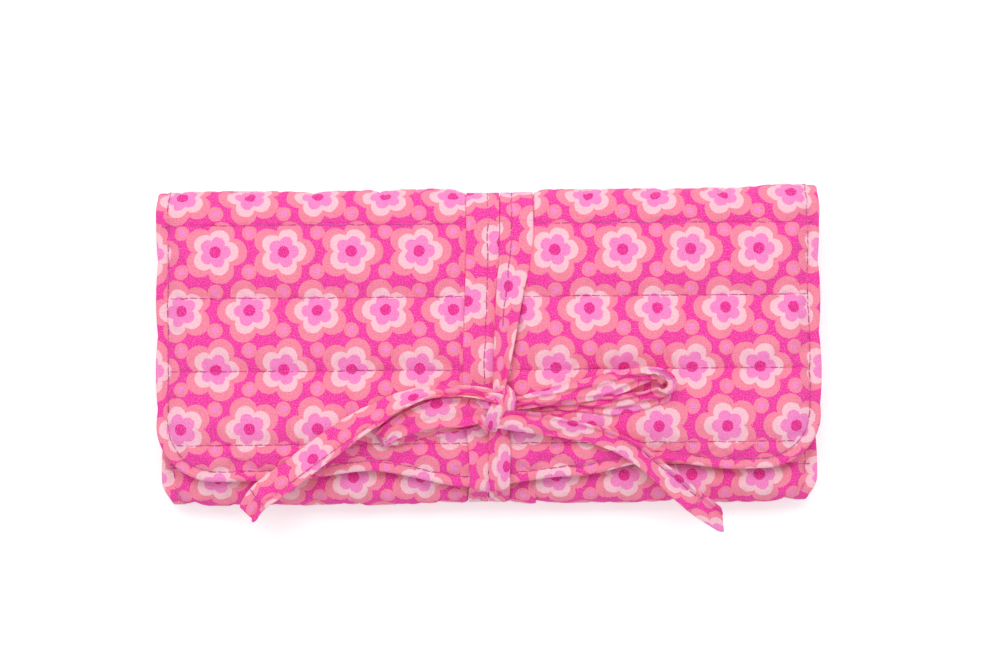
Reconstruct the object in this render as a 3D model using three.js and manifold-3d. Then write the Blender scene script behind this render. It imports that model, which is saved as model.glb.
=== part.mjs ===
// Jewelry pouch: one quilted, lined sheet of printed cotton, folded in three round a zip pocket,
// with a tie that is sewn to its back, wound round the middle and knotted in a bow.
// Millimetres, +Z up. X runs along the pouch and +Y points to its top fold. The closed pouch
// lies on its back, with the back's outer face on Z = 0.

import * as THREE from "three";
import { mergeVertices } from "three/addons/utils/BufferGeometryUtils.js";
import Module from "manifold-3d";

// Closed pouch
const POUCH_WIDTH = 220;
const POUCH_DEPTH = 105;
const FLAP_OVERHANG = 1;
const FLAP_WIDTH = POUCH_WIDTH + 2 * FLAP_OVERHANG;
const FLAP_CORNER = 20;
const HEM_FROM_BOTTOM = 9;
const FRONT_LENGTH = 40;
const FOLD_TUCK = 1.8;

// The flap's hem waves up and down: share of the half width, and rise above the hem's mean line
const HEM_WAVE = [
  [-0.82, -1.6],
  [-0.6, -1.2],
  [-0.36, 1.6],
  [-0.05, -4],
  [0.25, -0.6],
  [0.5, 4],
  [0.74, 1.4],
  [0.82, 1.6],
];

// The quilted sheet: cover, wadding and lining, sewn through along parallel rows
const SHEET_CROWN = 5;
const SHEET_VALLEY = 3.2;
const COVER_THICKNESS = 0.6;
const LINING_THICKNESS = 0.6;
const QUILT_PITCH = 24.4;
const QUILT_FROM_FOLD = 1;
const FRONT_ROW_RISE = 4.6;
const ROWS_TO_FRONT = 6;
const CROWN_FLAT = 9;
const PUFF_POWER = 0.6;
const FOOT_SHARE = 0.3;
const HEM_WIDTH = 4.5;
const HEM_THICKNESS = 2.4;
const HEM_RISE = 6.5;

// Clear heights inside the folded pouch
const FRONT_SPACE = 5;
const FLAP_SPACE = 2.6;

// The tie: a flat folded strip, and how deep it sinks into the quilting
const TIE_WIDTH = 11.2;
const TIE_THICKNESS = 1;
const TIE_LEFT = -7.2;
const TIE_SEAT_BACK = 2.2;
const TIE_SEAT_FLAP = 3.6;
const TIE_GATHERED = 7;
const STRAND_LEFT = -0.2;
const TIE_SINK_SHARE = 0.3;
const TIE_ZONE_EDGE = 1.5;
const TIE_ZONE_RAMP = 8;
const TIE_TURN_RADIUS = 1.4;
const TIE_LEAVE_ANGLE = 170;
const BARTACK_WIDTH = 4;
const BARTACK_LENGTH = 9;
const BARTACK_FROM_EDGE = 0.8;
const BARTACK_THICKNESS = 0.3;

// The knot
const KNOT_X = 3.5;
const KNOT_FROM_HEM = 22;
const KNOT_WIDTH = 10.6;
const KNOT_LENGTH = 14;
const KNOT_HEIGHT = 6.4;
const KNOT_ROUND = 2.2;

// Zip pocket on the back's lining
const ZIP_FROM_FOLD = 18;
const ZIP_SLOT = 11;
const ZIP_INSET = 19;
const ZIP_STOP_LENGTH = 2.4;
const POCKET_INSET = 10;
const POCKET_MARGIN = 4;
const POCKET_THICKNESS = 2;
const TAPE_THICKNESS = 0.4;
const COIL_WIDTH = 1;
const COIL_HEIGHT = 1;
const COIL_SPLIT = 0.7;
const SLIDER_LENGTH = 8;
const SLIDER_WIDTH = 6;
const SLIDER_PLATE = 0.5;
const SLIDER_FLANGE = 0.6;
const SLIDER_POST = 0.3;
const POST_LENGTH = 2;
const BRIDGE_SPAN = 4.4;
const BRIDGE_WIDTH = 1.6;
const BRIDGE_BAR = 0.6;
const BRIDGE_RISE = 1.4;
const PULL_LENGTH = 8;
const PULL_WIDTH = 5.2;
const PULL_THICKNESS = 0.6;
const PULL_BAR = 0.8;
const PULL_WINDOW = 3.4;
const PULL_RIM = 1.3;

// Slip pocket on the flap's lining
const SLIP_INSET = 12;
const SLIP_FROM_HEM = 9;
const SLIP_HEIGHT = 34;
const SLIP_THICKNESS = 0.8;
const SLIP_BINDING = 3;

// Clearance between pieces that touch on the real pouch
const GAP = 0.3;

// Steps round a fold, along the hem, down the second turn of the tie and round a curve
const FOLD_STEPS = 9;
const HEM_STEPS = 22;
const SECOND_STEPS = 8;
const CURVE_STEPS = 6;

// Heights of the folded sheet's inner faces, and its two fold axes
const backFace = SHEET_CROWN;
const frontFace = backFace + FRONT_SPACE;
const frontTop = frontFace + SHEET_CROWN;
const flapFace = frontTop + FLAP_SPACE;
const flapTop = flapFace + SHEET_CROWN;
const bottomRadius = frontTop / 2;
const topRadius = flapTop / 2;
const bottomY = bottomRadius - POUCH_DEPTH / 2;
const topY = POUCH_DEPTH / 2 - topRadius;
const hemY = HEM_FROM_BOTTOM - POUCH_DEPTH / 2;
const knotY = hemY + KNOT_FROM_HEM;
const pouchHalf = POUCH_WIDTH / 2;
const flapHalf = FLAP_WIDTH / 2;

// The sheet is measured along its outer face, from the front panel's free edge to the flap's hem
const bottomStart = FRONT_LENGTH;
const backStart = bottomStart + Math.PI * bottomRadius;
const topStart = backStart + topY - bottomY;
const flapStart = topStart + Math.PI * topRadius;
const flapEnd = flapStart + topY + POUCH_DEPTH / 2;

// The quilting rows are counted from the flap's first row, back round the folds to the front panel
const firstRow = flapStart + QUILT_FROM_FOLD;
const hiddenPitch = (firstRow - bottomStart + FRONT_ROW_RISE) / ROWS_TO_FRONT;
const rowPitch = (along) => (along < firstRow ? hiddenPitch : QUILT_PITCH);

const wasm = await Module();
wasm.setup();

const MATERIALS = {
  print: new THREE.MeshStandardMaterial({ color: 0xf77ab4, roughness: 0.9 }),
  wadding: new THREE.MeshStandardMaterial({ color: 0xf4f1ec, roughness: 1 }),
  lining: new THREE.MeshStandardMaterial({ color: 0xf6c3d6, roughness: 0.9 }),
  thread: new THREE.MeshStandardMaterial({ color: 0xc2459f, roughness: 0.7 }),
  tape: new THREE.MeshStandardMaterial({ color: 0xe57bb4, roughness: 0.9 }),
  coil: new THREE.MeshStandardMaterial({ color: 0xdc5fa4, roughness: 0.5 }),
  metal: new THREE.MeshStandardMaterial({ color: 0xc9b37a, roughness: 0.3, metalness: 1 }),
};

const pouch = new THREE.Group();

function addPiece(name, geometry, material, parent = pouch) {
  const mesh = new THREE.Mesh(geometry, MATERIALS[material]);
  mesh.name = name;
  parent.add(mesh);
  return mesh;
}

// Joining and cutting
function toSolid(geometry) {
  const bare = geometry.clone();
  bare.deleteAttribute("normal");
  bare.deleteAttribute("uv");
  const merged = mergeVertices(bare, 1e-4);
  const vertProperties = new Float32Array(merged.attributes.position.array);
  const triVerts = new Uint32Array(merged.index.array);
  return new wasm.Manifold(new wasm.Mesh({ numProp: 3, vertProperties, triVerts }));
}

function toGeometry(solid) {
  const mesh = solid.getMesh();
  const geometry = new THREE.BufferGeometry();
  geometry.setAttribute("position", new THREE.BufferAttribute(mesh.vertProperties, 3));
  geometry.setIndex(new THREE.BufferAttribute(mesh.triVerts, 1));
  geometry.computeVertexNormals();
  return geometry;
}

function closedMesh(points, triangles) {
  const geometry = new THREE.BufferGeometry();
  geometry.setFromPoints(points);
  geometry.setIndex(triangles);
  geometry.computeVertexNormals();
  return geometry;
}

function box(width, depth, height, x, y, z) {
  return new THREE.BoxGeometry(width, depth, height).translate(x, y, z);
}

// The folded sheet: a point at a distance along it, across it and out from its inner face
function sheetPoint(along, across, out) {
  if (along < bottomStart) {
    return new THREE.Vector3(across, bottomY + bottomStart - along, frontFace + out);
  }
  if (along < backStart) {
    const turn = Math.PI / 2 + (along - bottomStart) / bottomRadius;
    const reach = bottomRadius - SHEET_CROWN + out;
    return new THREE.Vector3(
      across,
      bottomY + reach * Math.cos(turn),
      bottomRadius + reach * Math.sin(turn),
    );
  }
  if (along <= topStart) {
    return new THREE.Vector3(across, bottomY + along - backStart, backFace - out);
  }
  if (along < flapStart) {
    const turn = (along - topStart) / topRadius - Math.PI / 2;
    const reach = topRadius - SHEET_CROWN + out;
    return new THREE.Vector3(
      across,
      topY + reach * Math.cos(turn),
      topRadius + reach * Math.sin(turn),
    );
  }
  return new THREE.Vector3(across, topY - (along - flapStart), flapFace + out);
}

function ramp(value, from, to) {
  return THREE.MathUtils.clamp((value - from) / (to - from), 0, 1);
}

function hemLine(x) {
  const share = x / flapHalf;
  let rise = HEM_WAVE[0][1];
  for (let i = 1; i < HEM_WAVE.length; i += 1) {
    const [before, low] = HEM_WAVE[i - 1];
    const [after, high] = HEM_WAVE[i];
    if (share > before) rise = low + (high - low) * THREE.MathUtils.smoothstep(share, before, after);
  }
  return hemY + rise;
}

function halfWidth(along) {
  const top = ramp(along, topStart, flapStart);
  const bottom = ramp(along, bottomStart, backStart);
  const tuck = FOLD_TUCK * (Math.sin(Math.PI * top) + Math.sin(Math.PI * bottom));
  return pouchHalf + FLAP_OVERHANG * top - tuck;
}

function tieSeat(along) {
  const sunk = bottomStart + TIE_SINK_SHARE * (backStart - bottomStart);
  const sink = (SHEET_CROWN - TIE_SEAT_BACK) * ramp(along, bottomStart, sunk);
  return SHEET_CROWN - sink + (TIE_SEAT_FLAP - TIE_SEAT_BACK) * ramp(along, topStart, flapStart);
}

// Where the tie crosses the sheet
const secondLeft = TIE_LEFT + TIE_WIDTH + GAP;
const zoneLeft = TIE_LEFT - TIE_ZONE_EDGE;
const zoneRight = secondLeft + TIE_WIDTH + TIE_ZONE_EDGE;

// How thick the quilted sheet is: puffed between the rows, flat at its hems and under the tie
const crownSlope = (QUILT_PITCH - CROWN_FLAT) / 2;

function padThickness(along, across) {
  const pitch = rowPitch(along);
  const row = (along - firstRow) / pitch;
  const fromRow = pitch * Math.abs(row - Math.round(row));
  const puff = Math.sin((Math.PI / 2) * Math.min(fromRow / crownSlope, 1)) ** PUFF_POWER;
  const thickness = SHEET_VALLEY + (SHEET_CROWN - SHEET_VALLEY) * puff;
  const beside = Math.max(zoneLeft - across, across - zoneRight);
  const seat = tieSeat(along);
  return Math.min(thickness, seat + (SHEET_CROWN - seat) * ramp(beside, 0, TIE_ZONE_RAMP));
}

function sheetThickness(along, across) {
  let fromEdge = halfWidth(along) - Math.abs(across);
  if (along < bottomStart) fromEdge = Math.min(fromEdge, along);
  if (along > flapStart) {
    fromEdge = Math.min(fromEdge, topY - (along - flapStart) - hemLine(across));
  }
  const hemRise = ramp(fromEdge, HEM_WIDTH, HEM_WIDTH + HEM_RISE);
  const hem = HEM_THICKNESS + (SHEET_CROWN - HEM_THICKNESS) * hemRise;
  return Math.min(padThickness(along, across), hem);
}

function alongStations(from, to, longest) {
  const foot = crownSlope * FOOT_SHARE;
  const marks = [-crownSlope, -foot, 0, foot, crownSlope];
  const stations = [from];
  const first = Math.floor((from - firstRow) / rowPitch(from));
  const last = Math.ceil((to - firstRow) / rowPitch(to));
  const wanted = [];
  for (let row = first; row <= last; row += 1) {
    const start = firstRow + row * (row < 0 ? hiddenPitch : QUILT_PITCH);
    for (const mark of marks) wanted.push(start + mark);
  }
  wanted.push(HEM_WIDTH, HEM_WIDTH + HEM_RISE);
  const rises = HEM_WAVE.map(([, rise]) => rise);
  for (const rise of [Math.min(...rises), Math.max(...rises)]) {
    const inner = flapStart + topY - hemY - rise - HEM_WIDTH;
    wanted.push(inner, inner - HEM_RISE);
  }
  wanted.sort((a, b) => a - b);
  for (const station of [...wanted, to]) {
    const before = stations[stations.length - 1];
    const inside = station > before + GAP && (station < to - GAP || station === to);
    if (!inside) continue;
    const steps = Math.ceil((station - before) / longest);
    for (let i = 1; i <= steps; i += 1) stations.push(before + ((station - before) * i) / steps);
  }
  return stations;
}

function acrossStations(half) {
  const rise = HEM_WIDTH + HEM_RISE;
  const left = [-half, HEM_WIDTH - half, rise - half, (rise - half + zoneLeft) / 2];
  const tie = [zoneLeft - TIE_ZONE_RAMP, zoneLeft, zoneRight, zoneRight + TIE_ZONE_RAMP];
  const right = [(half - rise + zoneRight) / 2, half - rise, half - HEM_WIDTH, half];
  return [...left, ...tie, ...right];
}

// A closed layer of the sheet between two distances out from its inner face
function sheetLayer(stations, low, high) {
  const points = [];
  const triangles = [];
  const columns = acrossStations(1).length;
  for (const out of [low, high]) {
    for (const along of stations) {
      for (const across of acrossStations(halfWidth(along))) {
        points.push(sheetPoint(along, across, out(along, across)));
      }
    }
  }
  const rows = stations.length;
  const index = (side, i, j) => (side * rows + i) * columns + j;
  const quad = (a, b, c, d) => triangles.push(a, b, c, a, c, d);
  for (let i = 0; i + 1 < rows; i += 1) {
    for (let j = 0; j + 1 < columns; j += 1) {
      quad(index(1, i, j), index(1, i + 1, j), index(1, i + 1, j + 1), index(1, i, j + 1));
      quad(index(0, i, j), index(0, i, j + 1), index(0, i + 1, j + 1), index(0, i + 1, j));
    }
    quad(index(0, i, 0), index(0, i + 1, 0), index(1, i + 1, 0), index(1, i, 0));
    const j = columns - 1;
    quad(index(0, i + 1, j), index(0, i, j), index(1, i, j), index(1, i + 1, j));
  }
  for (let j = 0; j + 1 < columns; j += 1) {
    quad(index(0, 0, j + 1), index(0, 0, j), index(1, 0, j), index(1, 0, j + 1));
    const i = rows - 1;
    quad(index(0, i, j), index(0, i, j + 1), index(1, i, j + 1), index(1, i, j));
  }
  return closedMesh(points, triangles);
}

// Outlines in plan, each drawn in by an inset
function prism(shape) {
  const options = { depth: flapTop + SHEET_CROWN, bevelEnabled: false, curveSegments: CURVE_STEPS };
  return toSolid(new THREE.ExtrudeGeometry(shape, options));
}

function rectangle(half, low, high) {
  const shape = new THREE.Shape();
  shape.moveTo(-half, low);
  shape.lineTo(half, low);
  shape.lineTo(half, high);
  shape.lineTo(-half, high);
  return shape;
}

function flapOutline(inset) {
  const half = flapHalf - inset;
  const corner = FLAP_CORNER - inset;
  const turn = half - corner;
  const shape = new THREE.Shape();
  const left = hemLine(-turn) + inset;
  const right = hemLine(turn) + inset;
  shape.moveTo(-half, topY + SHEET_CROWN);
  shape.lineTo(-half, left + corner);
  shape.absarc(-turn, left + corner, corner, Math.PI, 1.5 * Math.PI);
  for (let i = 1; i < HEM_STEPS; i += 1) {
    const x = -turn + (2 * turn * i) / HEM_STEPS;
    shape.lineTo(x, hemLine(x) + inset);
  }
  shape.absarc(turn, right + corner, corner, 1.5 * Math.PI, 2 * Math.PI);
  shape.lineTo(half, topY + SHEET_CROWN);
  return shape;
}

// One panel: the cover turned in round the lining and the wadding
function addPanel(name, from, to, outline) {
  const stations = alongStations(from, to, QUILT_PITCH);
  const inner = outline(HEM_WIDTH);
  const held = outline(HEM_WIDTH + GAP);
  const thickness = sheetThickness;
  const under = (a, b) => thickness(a, b) - COVER_THICKNESS;
  const padTop = (a, b) => under(a, b) - GAP / 2;
  const padBase = LINING_THICKNESS + GAP / 2;
  const whole = toSolid(sheetLayer(stations, () => 0, thickness)).intersect(prism(outline(0)));
  const hollow = toSolid(sheetLayer(stations, () => -GAP, under)).intersect(prism(inner));
  const pad = toSolid(sheetLayer(stations, () => padBase, padTop)).intersect(prism(held));
  const lining = toSolid(sheetLayer(stations, () => 0, () => LINING_THICKNESS));
  addPiece(`${name}_cover`, toGeometry(whole.subtract(hollow)), "print");
  addPiece(`${name}_wadding`, toGeometry(pad), "wadding");
  addPiece(`${name}_lining`, toGeometry(lining.intersect(prism(held))), "lining");
}

// A fold: its thin side hems bow out to the round of the padding between them
function addFold(name, from, to, radius) {
  const stations = alongStations(from, to, (Math.PI * radius) / FOLD_STEPS);
  const lift = (along, across) => {
    const thin = padThickness(along, across) - sheetThickness(along, across);
    return thin * Math.sin(Math.PI * ramp(along, from, to));
  };
  const outer = (along, across) => lift(along, across) + sheetThickness(along, across);
  addPiece(name, sheetLayer(stations, lift, outer), "print");
}

addPanel("front", 0, bottomStart, (inset) => {
  return rectangle(pouchHalf - inset, bottomY - SHEET_CROWN, bottomY + FRONT_LENGTH - inset);
});
addPanel("back", backStart, topStart, (inset) => {
  return rectangle(pouchHalf - inset, bottomY - SHEET_CROWN, topY + SHEET_CROWN);
});
addPanel("flap", flapStart, flapEnd, flapOutline);
addFold("bottom_fold", bottomStart, backStart, bottomRadius);
addFold("top_fold", topStart, flapStart, topRadius);

// A flat strip along a line of stops, each with its place, its direction across and its width
function ribbon(stops) {
  const corners = [];
  const triangles = [];
  const last = stops.length - 1;
  stops.forEach((stop, i) => {
    const before = stops[Math.max(i - 1, 0)].at;
    const after = stops[Math.min(i + 1, last)].at;
    const tangent = after.clone().sub(before).normalize();
    const normal = tangent.clone().cross(stop.across).normalize();
    const side = stop.across.clone().multiplyScalar(stop.width / 2);
    const rise = normal.multiplyScalar(TIE_THICKNESS / 2);
    for (const [a, n] of [[-1, -1], [1, -1], [1, 1], [-1, 1]]) {
      corners.push(stop.at.clone().addScaledVector(side, a).addScaledVector(rise, n));
    }
  });
  const quad = (a, b, c, d) => triangles.push(a, b, c, a, c, d);
  for (let i = 0; i < last; i += 1) {
    for (let k = 0; k < 4; k += 1) {
      const next = (k + 1) % 4;
      quad(4 * i + k, 4 * i + next, 4 * i + 4 + next, 4 * i + 4 + k);
    }
  }
  quad(3, 2, 1, 0);
  quad(4 * last, 4 * last + 1, 4 * last + 2, 4 * last + 3);
  return closedMesh(corners, triangles);
}

const ACROSS_X = new THREE.Vector3(1, 0, 0);

// Height of a tie's middle over its seat, in the first or the second layer on the sheet
function layerHeight(layer) {
  return GAP + TIE_THICKNESS / 2 + (layer - 1) * (TIE_THICKNESS + GAP);
}

function tieStop(along, middle, width, layer) {
  const at = sheetPoint(along, middle, tieSeat(along) + layerHeight(layer));
  return { at, across: ACROSS_X, width };
}

function tieOnSheet(from, to, steps, middle, width, layer) {
  const stops = [];
  for (let i = 0; i <= steps; i += 1) {
    const share = i / steps;
    stops.push(tieStop(from + (to - from) * share, middle(share), width(share), layer(share)));
  }
  return stops;
}

// The tie on the back: its sewn start, and the turn that crosses it
const flatMiddle = TIE_LEFT + TIE_WIDTH / 2;
const secondMiddle = secondLeft + TIE_WIDTH / 2;
const strandMiddle = STRAND_LEFT + TIE_GATHERED / 2;
const backMiddle = (backStart + topStart) / 2;
const steady = (value) => () => value;
const between = (first, second) => (share) => first + (second - first) * share;
const full = steady(TIE_WIDTH);

function addTie(name, stops) {
  return addPiece(name, ribbon(stops), "print");
}

addTie(
  "tie_back_upper",
  tieOnSheet(backMiddle + GAP / 2, topStart - GAP / 2, 1, steady(flatMiddle), full, steady(1)),
);
addTie(
  "tie_back_lower",
  tieOnSheet(
    backStart + GAP / 2,
    backMiddle - GAP / 2,
    1,
    between(strandMiddle, flatMiddle),
    between(TIE_GATHERED, TIE_WIDTH),
    steady(1),
  ),
);
addTie(
  "tie_back_cross",
  tieOnSheet(
    backStart + GAP / 2,
    topStart - GAP / 2,
    1,
    between(flatMiddle, secondMiddle),
    full,
    steady(2),
  ),
);

// Over the top fold, side by side
addTie(
  "tie_top_flat",
  tieOnSheet(topStart + GAP / 2, flapStart - GAP / 2, FOLD_STEPS, steady(flatMiddle), full, steady(1)),
);
addTie(
  "tie_top_second",
  tieOnSheet(
    topStart + GAP / 2,
    flapStart - GAP / 2,
    FOLD_STEPS,
    steady(secondMiddle),
    full,
    between(2, 1),
  ),
);

// Down over the flap, and round its hem
const hemDip = Math.min(hemLine(TIE_LEFT), hemLine(flatMiddle), hemLine(secondLeft));
const knotTop = knotY + KNOT_LENGTH / 2 + GAP;
const knotFoot = knotY - KNOT_LENGTH / 2 - GAP;
const alongFlap = (y) => flapStart + topY - y;

function hemTurn(middle, width, layer) {
  const lift = layerHeight(layer);
  const high = flapFace + tieSeat(flapEnd) + lift;
  const low = flapFace + HEM_THICKNESS + lift;
  const face = hemDip - lift;
  const places = [
    [hemDip + HEM_WIDTH + HEM_RISE, high],
    [hemDip + HEM_WIDTH, (high + low) / 2],
    [hemDip + TIE_TURN_RADIUS, low],
    [(hemDip + face) / 2, low - TIE_TURN_RADIUS / 4],
    [face, low - TIE_TURN_RADIUS],
    [face, flapFace],
  ];
  return places.map(([y, z]) => {
    return { at: new THREE.Vector3(middle, y, z), across: ACROSS_X, width };
  });
}

const flatStart = tieStop(flapStart + GAP / 2, flatMiddle, TIE_WIDTH, 1);
addTie("tie_front_flat", [flatStart, ...hemTurn(flatMiddle, TIE_WIDTH, 1)]);
addTie(
  "tie_front_second",
  tieOnSheet(
    flapStart + GAP / 2,
    alongFlap(knotTop),
    SECOND_STEPS,
    (share) => secondMiddle + (KNOT_X - secondMiddle) * ramp(share, 1 / SECOND_STEPS, 1),
    (share) => TIE_WIDTH + (TIE_GATHERED - TIE_WIDTH) * ramp(share, 2 / SECOND_STEPS, 1),
    (share) => 1 + ramp(share, 0, 1 / SECOND_STEPS),
  ),
);
const strandStart = tieStop(alongFlap(knotFoot), strandMiddle, TIE_GATHERED, 2);
addTie("tie_front_strand", [strandStart, ...hemTurn(strandMiddle, TIE_GATHERED, 2)]);

// Below the hem, round the bottom fold to the back
function addBottomTie(name, middle, width, layer) {
  const lift = layerHeight(layer);
  const reach = bottomRadius - SHEET_CROWN + TIE_SEAT_BACK + lift;
  const leave = THREE.MathUtils.degToRad(TIE_LEAVE_ANGLE);
  const end = 1.5 * Math.PI;
  const places = [[hemDip - lift, flapFace - GAP]];
  for (let i = 0; i < FOLD_STEPS; i += 1) {
    const turn = leave + ((end - leave) * i) / FOLD_STEPS;
    places.push([bottomY + reach * Math.cos(turn), bottomRadius + reach * Math.sin(turn)]);
  }
  places.push([bottomY - GAP / 2, bottomRadius - reach]);
  const stops = places.map(([y, z]) => ({ at: new THREE.Vector3(middle, y, z), across: ACROSS_X, width }));
  addTie(name, stops);
}

addBottomTie("tie_bottom_flat", flatMiddle, TIE_WIDTH, 1);
addBottomTie("tie_bottom_strand", strandMiddle, TIE_GATHERED, 2);

// The bow: its knot, and the loops and tails that lie free on the flap
const knotBase = flapTop + GAP;

function addKnot() {
  const half = KNOT_WIDTH / 2 - KNOT_ROUND;
  const reach = KNOT_LENGTH / 2 - KNOT_ROUND;
  const outline = rectangle(half, -reach, reach);
  const geometry = new THREE.ExtrudeGeometry(outline, {
    depth: KNOT_HEIGHT - 2 * KNOT_ROUND,
    bevelSize: KNOT_ROUND,
    bevelThickness: KNOT_ROUND,
    bevelSegments: 3,
  });
  const knot = addPiece("bow_knot", geometry, "print");
  knot.position.set(KNOT_X, knotY, knotBase + KNOT_ROUND);
}

addKnot();

// Each stop: across and along from the knot's middle, height over its underside, and the strip's width
const BOW_LOOP_LEFT = [
  [-5.7, -4.3, 0.6, 5],
  [-16.5, -6.5, 0.6, 8],
  [-29.5, -7.5, 0.6, 9],
  [-38.1, -7.5, 0.7, 9],
  [-40.4, -7.1, 2, 9],
  [-38.1, -6.5, 3.3, 9],
  [-29.5, -4.1, 3.6, 9],
  [-17.5, -0.9, 3.4, 8],
  [-5.7, 0.7, 3.2, 5],
];
const BOW_LOOP_RIGHT = [
  [5.7, -1, 0.6, 5],
  [18.5, 0.1, 0.6, 6.4],
  [33.5, 1, 0.6, 8.4],
  [46.5, 2.9, 0.6, 9],
  [53.5, 4.7, 1, 9],
  [55.9, 6.1, 3.2, 9],
  [53.5, 7.1, 5.4, 9],
  [44.5, 8.6, 6, 9],
  [30.5, 7.9, 5.8, 8.6],
  [16.5, 4.7, 4.9, 7],
  [5.7, 1.7, 3.8, 4.6],
];
const BOW_TAIL_LEFT = [
  [-5.7, 3.5, 4.9, 4.6],
  [-15.5, 3.9, 5, 7.6],
  [-25.5, 2.9, 5.1, 9.6],
  [-36.5, -0.7, 5, 10],
  [-46.5, -5.7, 3.2, 10],
  [-55.5, -11.5, 1.2, 10],
  [-64.5, -18.5, 0.6, 10],
  [-74.5, -27.5, -0.4, 10],
  [-83, -35.5, -2, 10],
];
const BOW_TAIL_RIGHT = [
  [5.7, -5.1, 2.8, 3.6],
  [15.5, -7.5, 1.6, 6.8],
  [30.5, -10.5, 0.7, 8],
  [43.5, -15.5, 0.6, 8.4],
  [55.5, -23.9, 0.3, 8.4],
  [65.5, -33.1, -1.2, 8.4],
  [74, -40.1, -3, 8],
];

function placeBow(list) {
  return list.map(([x, y, height, width]) => {
    return { at: new THREE.Vector3(KNOT_X + x, knotY + y, knotBase + height), width };
  });
}

function addLoop(name, list) {
  const across = new THREE.Vector3(0, 1, 0);
  addTie(name, placeBow(list).map((stop) => ({ ...stop, across })));
}

function addTail(name, list) {
  const stops = placeBow(list);
  const up = new THREE.Vector3(0, 0, 1);
  stops.forEach((stop, i) => {
    const before = stops[Math.max(i - 1, 0)].at;
    const after = stops[Math.min(i + 1, stops.length - 1)].at;
    stop.across = up.clone().cross(after.clone().sub(before)).normalize();
  });
  addTie(name, stops);
}

addLoop("bow_loop_left", BOW_LOOP_LEFT);
addLoop("bow_loop_right", BOW_LOOP_RIGHT);
addTail("bow_tail_left", BOW_TAIL_LEFT);
addTail("bow_tail_right", BOW_TAIL_RIGHT);

// Zip pocket, built on the lining's face: X along the zip, Z away from the lining
const zip = new THREE.Group();
zip.position.set(0, topY - ZIP_FROM_FOLD, backFace);
pouch.add(zip);
const pocketHalf = pouchHalf - POCKET_INSET;
const zipHalf = pouchHalf - ZIP_INSET;
const tapeOuter = ZIP_SLOT / 2 - GAP;
const coilInner = COIL_SPLIT / 2;
const coilOuter = coilInner + COIL_WIDTH;
const tapeInner = coilOuter + GAP;
const tapeMiddle = 2 * GAP + SLIDER_PLATE + COIL_HEIGHT / 2;

function addPocketPanel(name, low, high) {
  const middle = (low + high) / 2;
  const panel = box(2 * pocketHalf, high - low, POCKET_THICKNESS, 0, middle, POCKET_THICKNESS / 2);
  addPiece(name, panel, "lining", zip);
}

addPocketPanel("pocket_lower", bottomY + POCKET_MARGIN - zip.position.y, -ZIP_SLOT / 2);
addPocketPanel("pocket_upper", ZIP_SLOT / 2, ZIP_FROM_FOLD - POCKET_MARGIN);

for (const [side, sign] of [["lower", -1], ["upper", 1]]) {
  const width = tapeOuter - tapeInner;
  const tapeY = (sign * (tapeInner + tapeOuter)) / 2;
  const coilY = (sign * (coilInner + coilOuter)) / 2;
  const tape = box(2 * zipHalf, width, TAPE_THICKNESS, 0, tapeY, tapeMiddle);
  const coil = box(2 * zipHalf, COIL_WIDTH, COIL_HEIGHT, 0, coilY, tapeMiddle);
  addPiece(`zip_tape_${side}`, tape, "tape", zip);
  addPiece(`zip_coil_${side}`, coil, "coil", zip);
}

for (const [side, sign] of [["left", -1], ["right", 1]]) {
  const tabStart = zipHalf + ZIP_STOP_LENGTH + 2 * GAP;
  const tabMiddle = (sign * (tabStart + pocketHalf)) / 2;
  const tabWidth = ZIP_SLOT - 2 * GAP;
  const tab = box(pocketHalf - tabStart, tabWidth, POCKET_THICKNESS, tabMiddle, 0, POCKET_THICKNESS / 2);
  addPiece(`zip_end_tab_${side}`, tab, "lining", zip);
  const stopMiddle = sign * (zipHalf + GAP + ZIP_STOP_LENGTH / 2);
  const stop = box(ZIP_STOP_LENGTH, 2 * coilOuter, POCKET_THICKNESS, stopMiddle, 0, POCKET_THICKNESS / 2);
  addPiece(`zip_stop_${side}`, stop, "metal", zip);
}

// The slider: two plates round the coils, joined by a post at its nose, with a bridge on top
const sliderX = zipHalf - SLIDER_LENGTH / 2 - GAP;
const channelLow = tapeMiddle - COIL_HEIGHT / 2 - GAP;
const channelHigh = tapeMiddle + COIL_HEIGHT / 2 + GAP;
const bridgeBase = channelHigh + SLIDER_PLATE;
const pullAxis = bridgeBase + BRIDGE_RISE / 2;
const slider = new THREE.Group();
slider.position.x = sliderX;
zip.add(slider);

function sliderSection() {
  const half = SLIDER_WIDTH / 2;
  const shelf = half - SLIDER_FLANGE;
  const tapeTop = tapeMiddle + TAPE_THICKNESS / 2 + GAP;
  const upper = new THREE.Shape();
  upper.moveTo(-half, tapeTop);
  upper.lineTo(-shelf, tapeTop);
  upper.lineTo(-shelf, channelHigh);
  upper.lineTo(shelf, channelHigh);
  upper.lineTo(shelf, tapeTop);
  upper.lineTo(half, tapeTop);
  upper.lineTo(half, bridgeBase);
  upper.lineTo(-half, bridgeBase);
  return upper;
}

function bridgeProfile() {
  const half = BRIDGE_SPAN / 2;
  const opening = half - BRIDGE_BAR;
  const top = bridgeBase + BRIDGE_RISE;
  const arch = new THREE.Shape();
  arch.moveTo(-half, bridgeBase - SLIDER_PLATE / 2);
  arch.lineTo(-opening, bridgeBase - SLIDER_PLATE / 2);
  arch.lineTo(-opening, top);
  arch.lineTo(opening, top);
  arch.lineTo(opening, bridgeBase - SLIDER_PLATE / 2);
  arch.lineTo(half, bridgeBase - SLIDER_PLATE / 2);
  arch.lineTo(half, top + BRIDGE_BAR);
  arch.lineTo(-half, top + BRIDGE_BAR);
  return arch;
}

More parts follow.
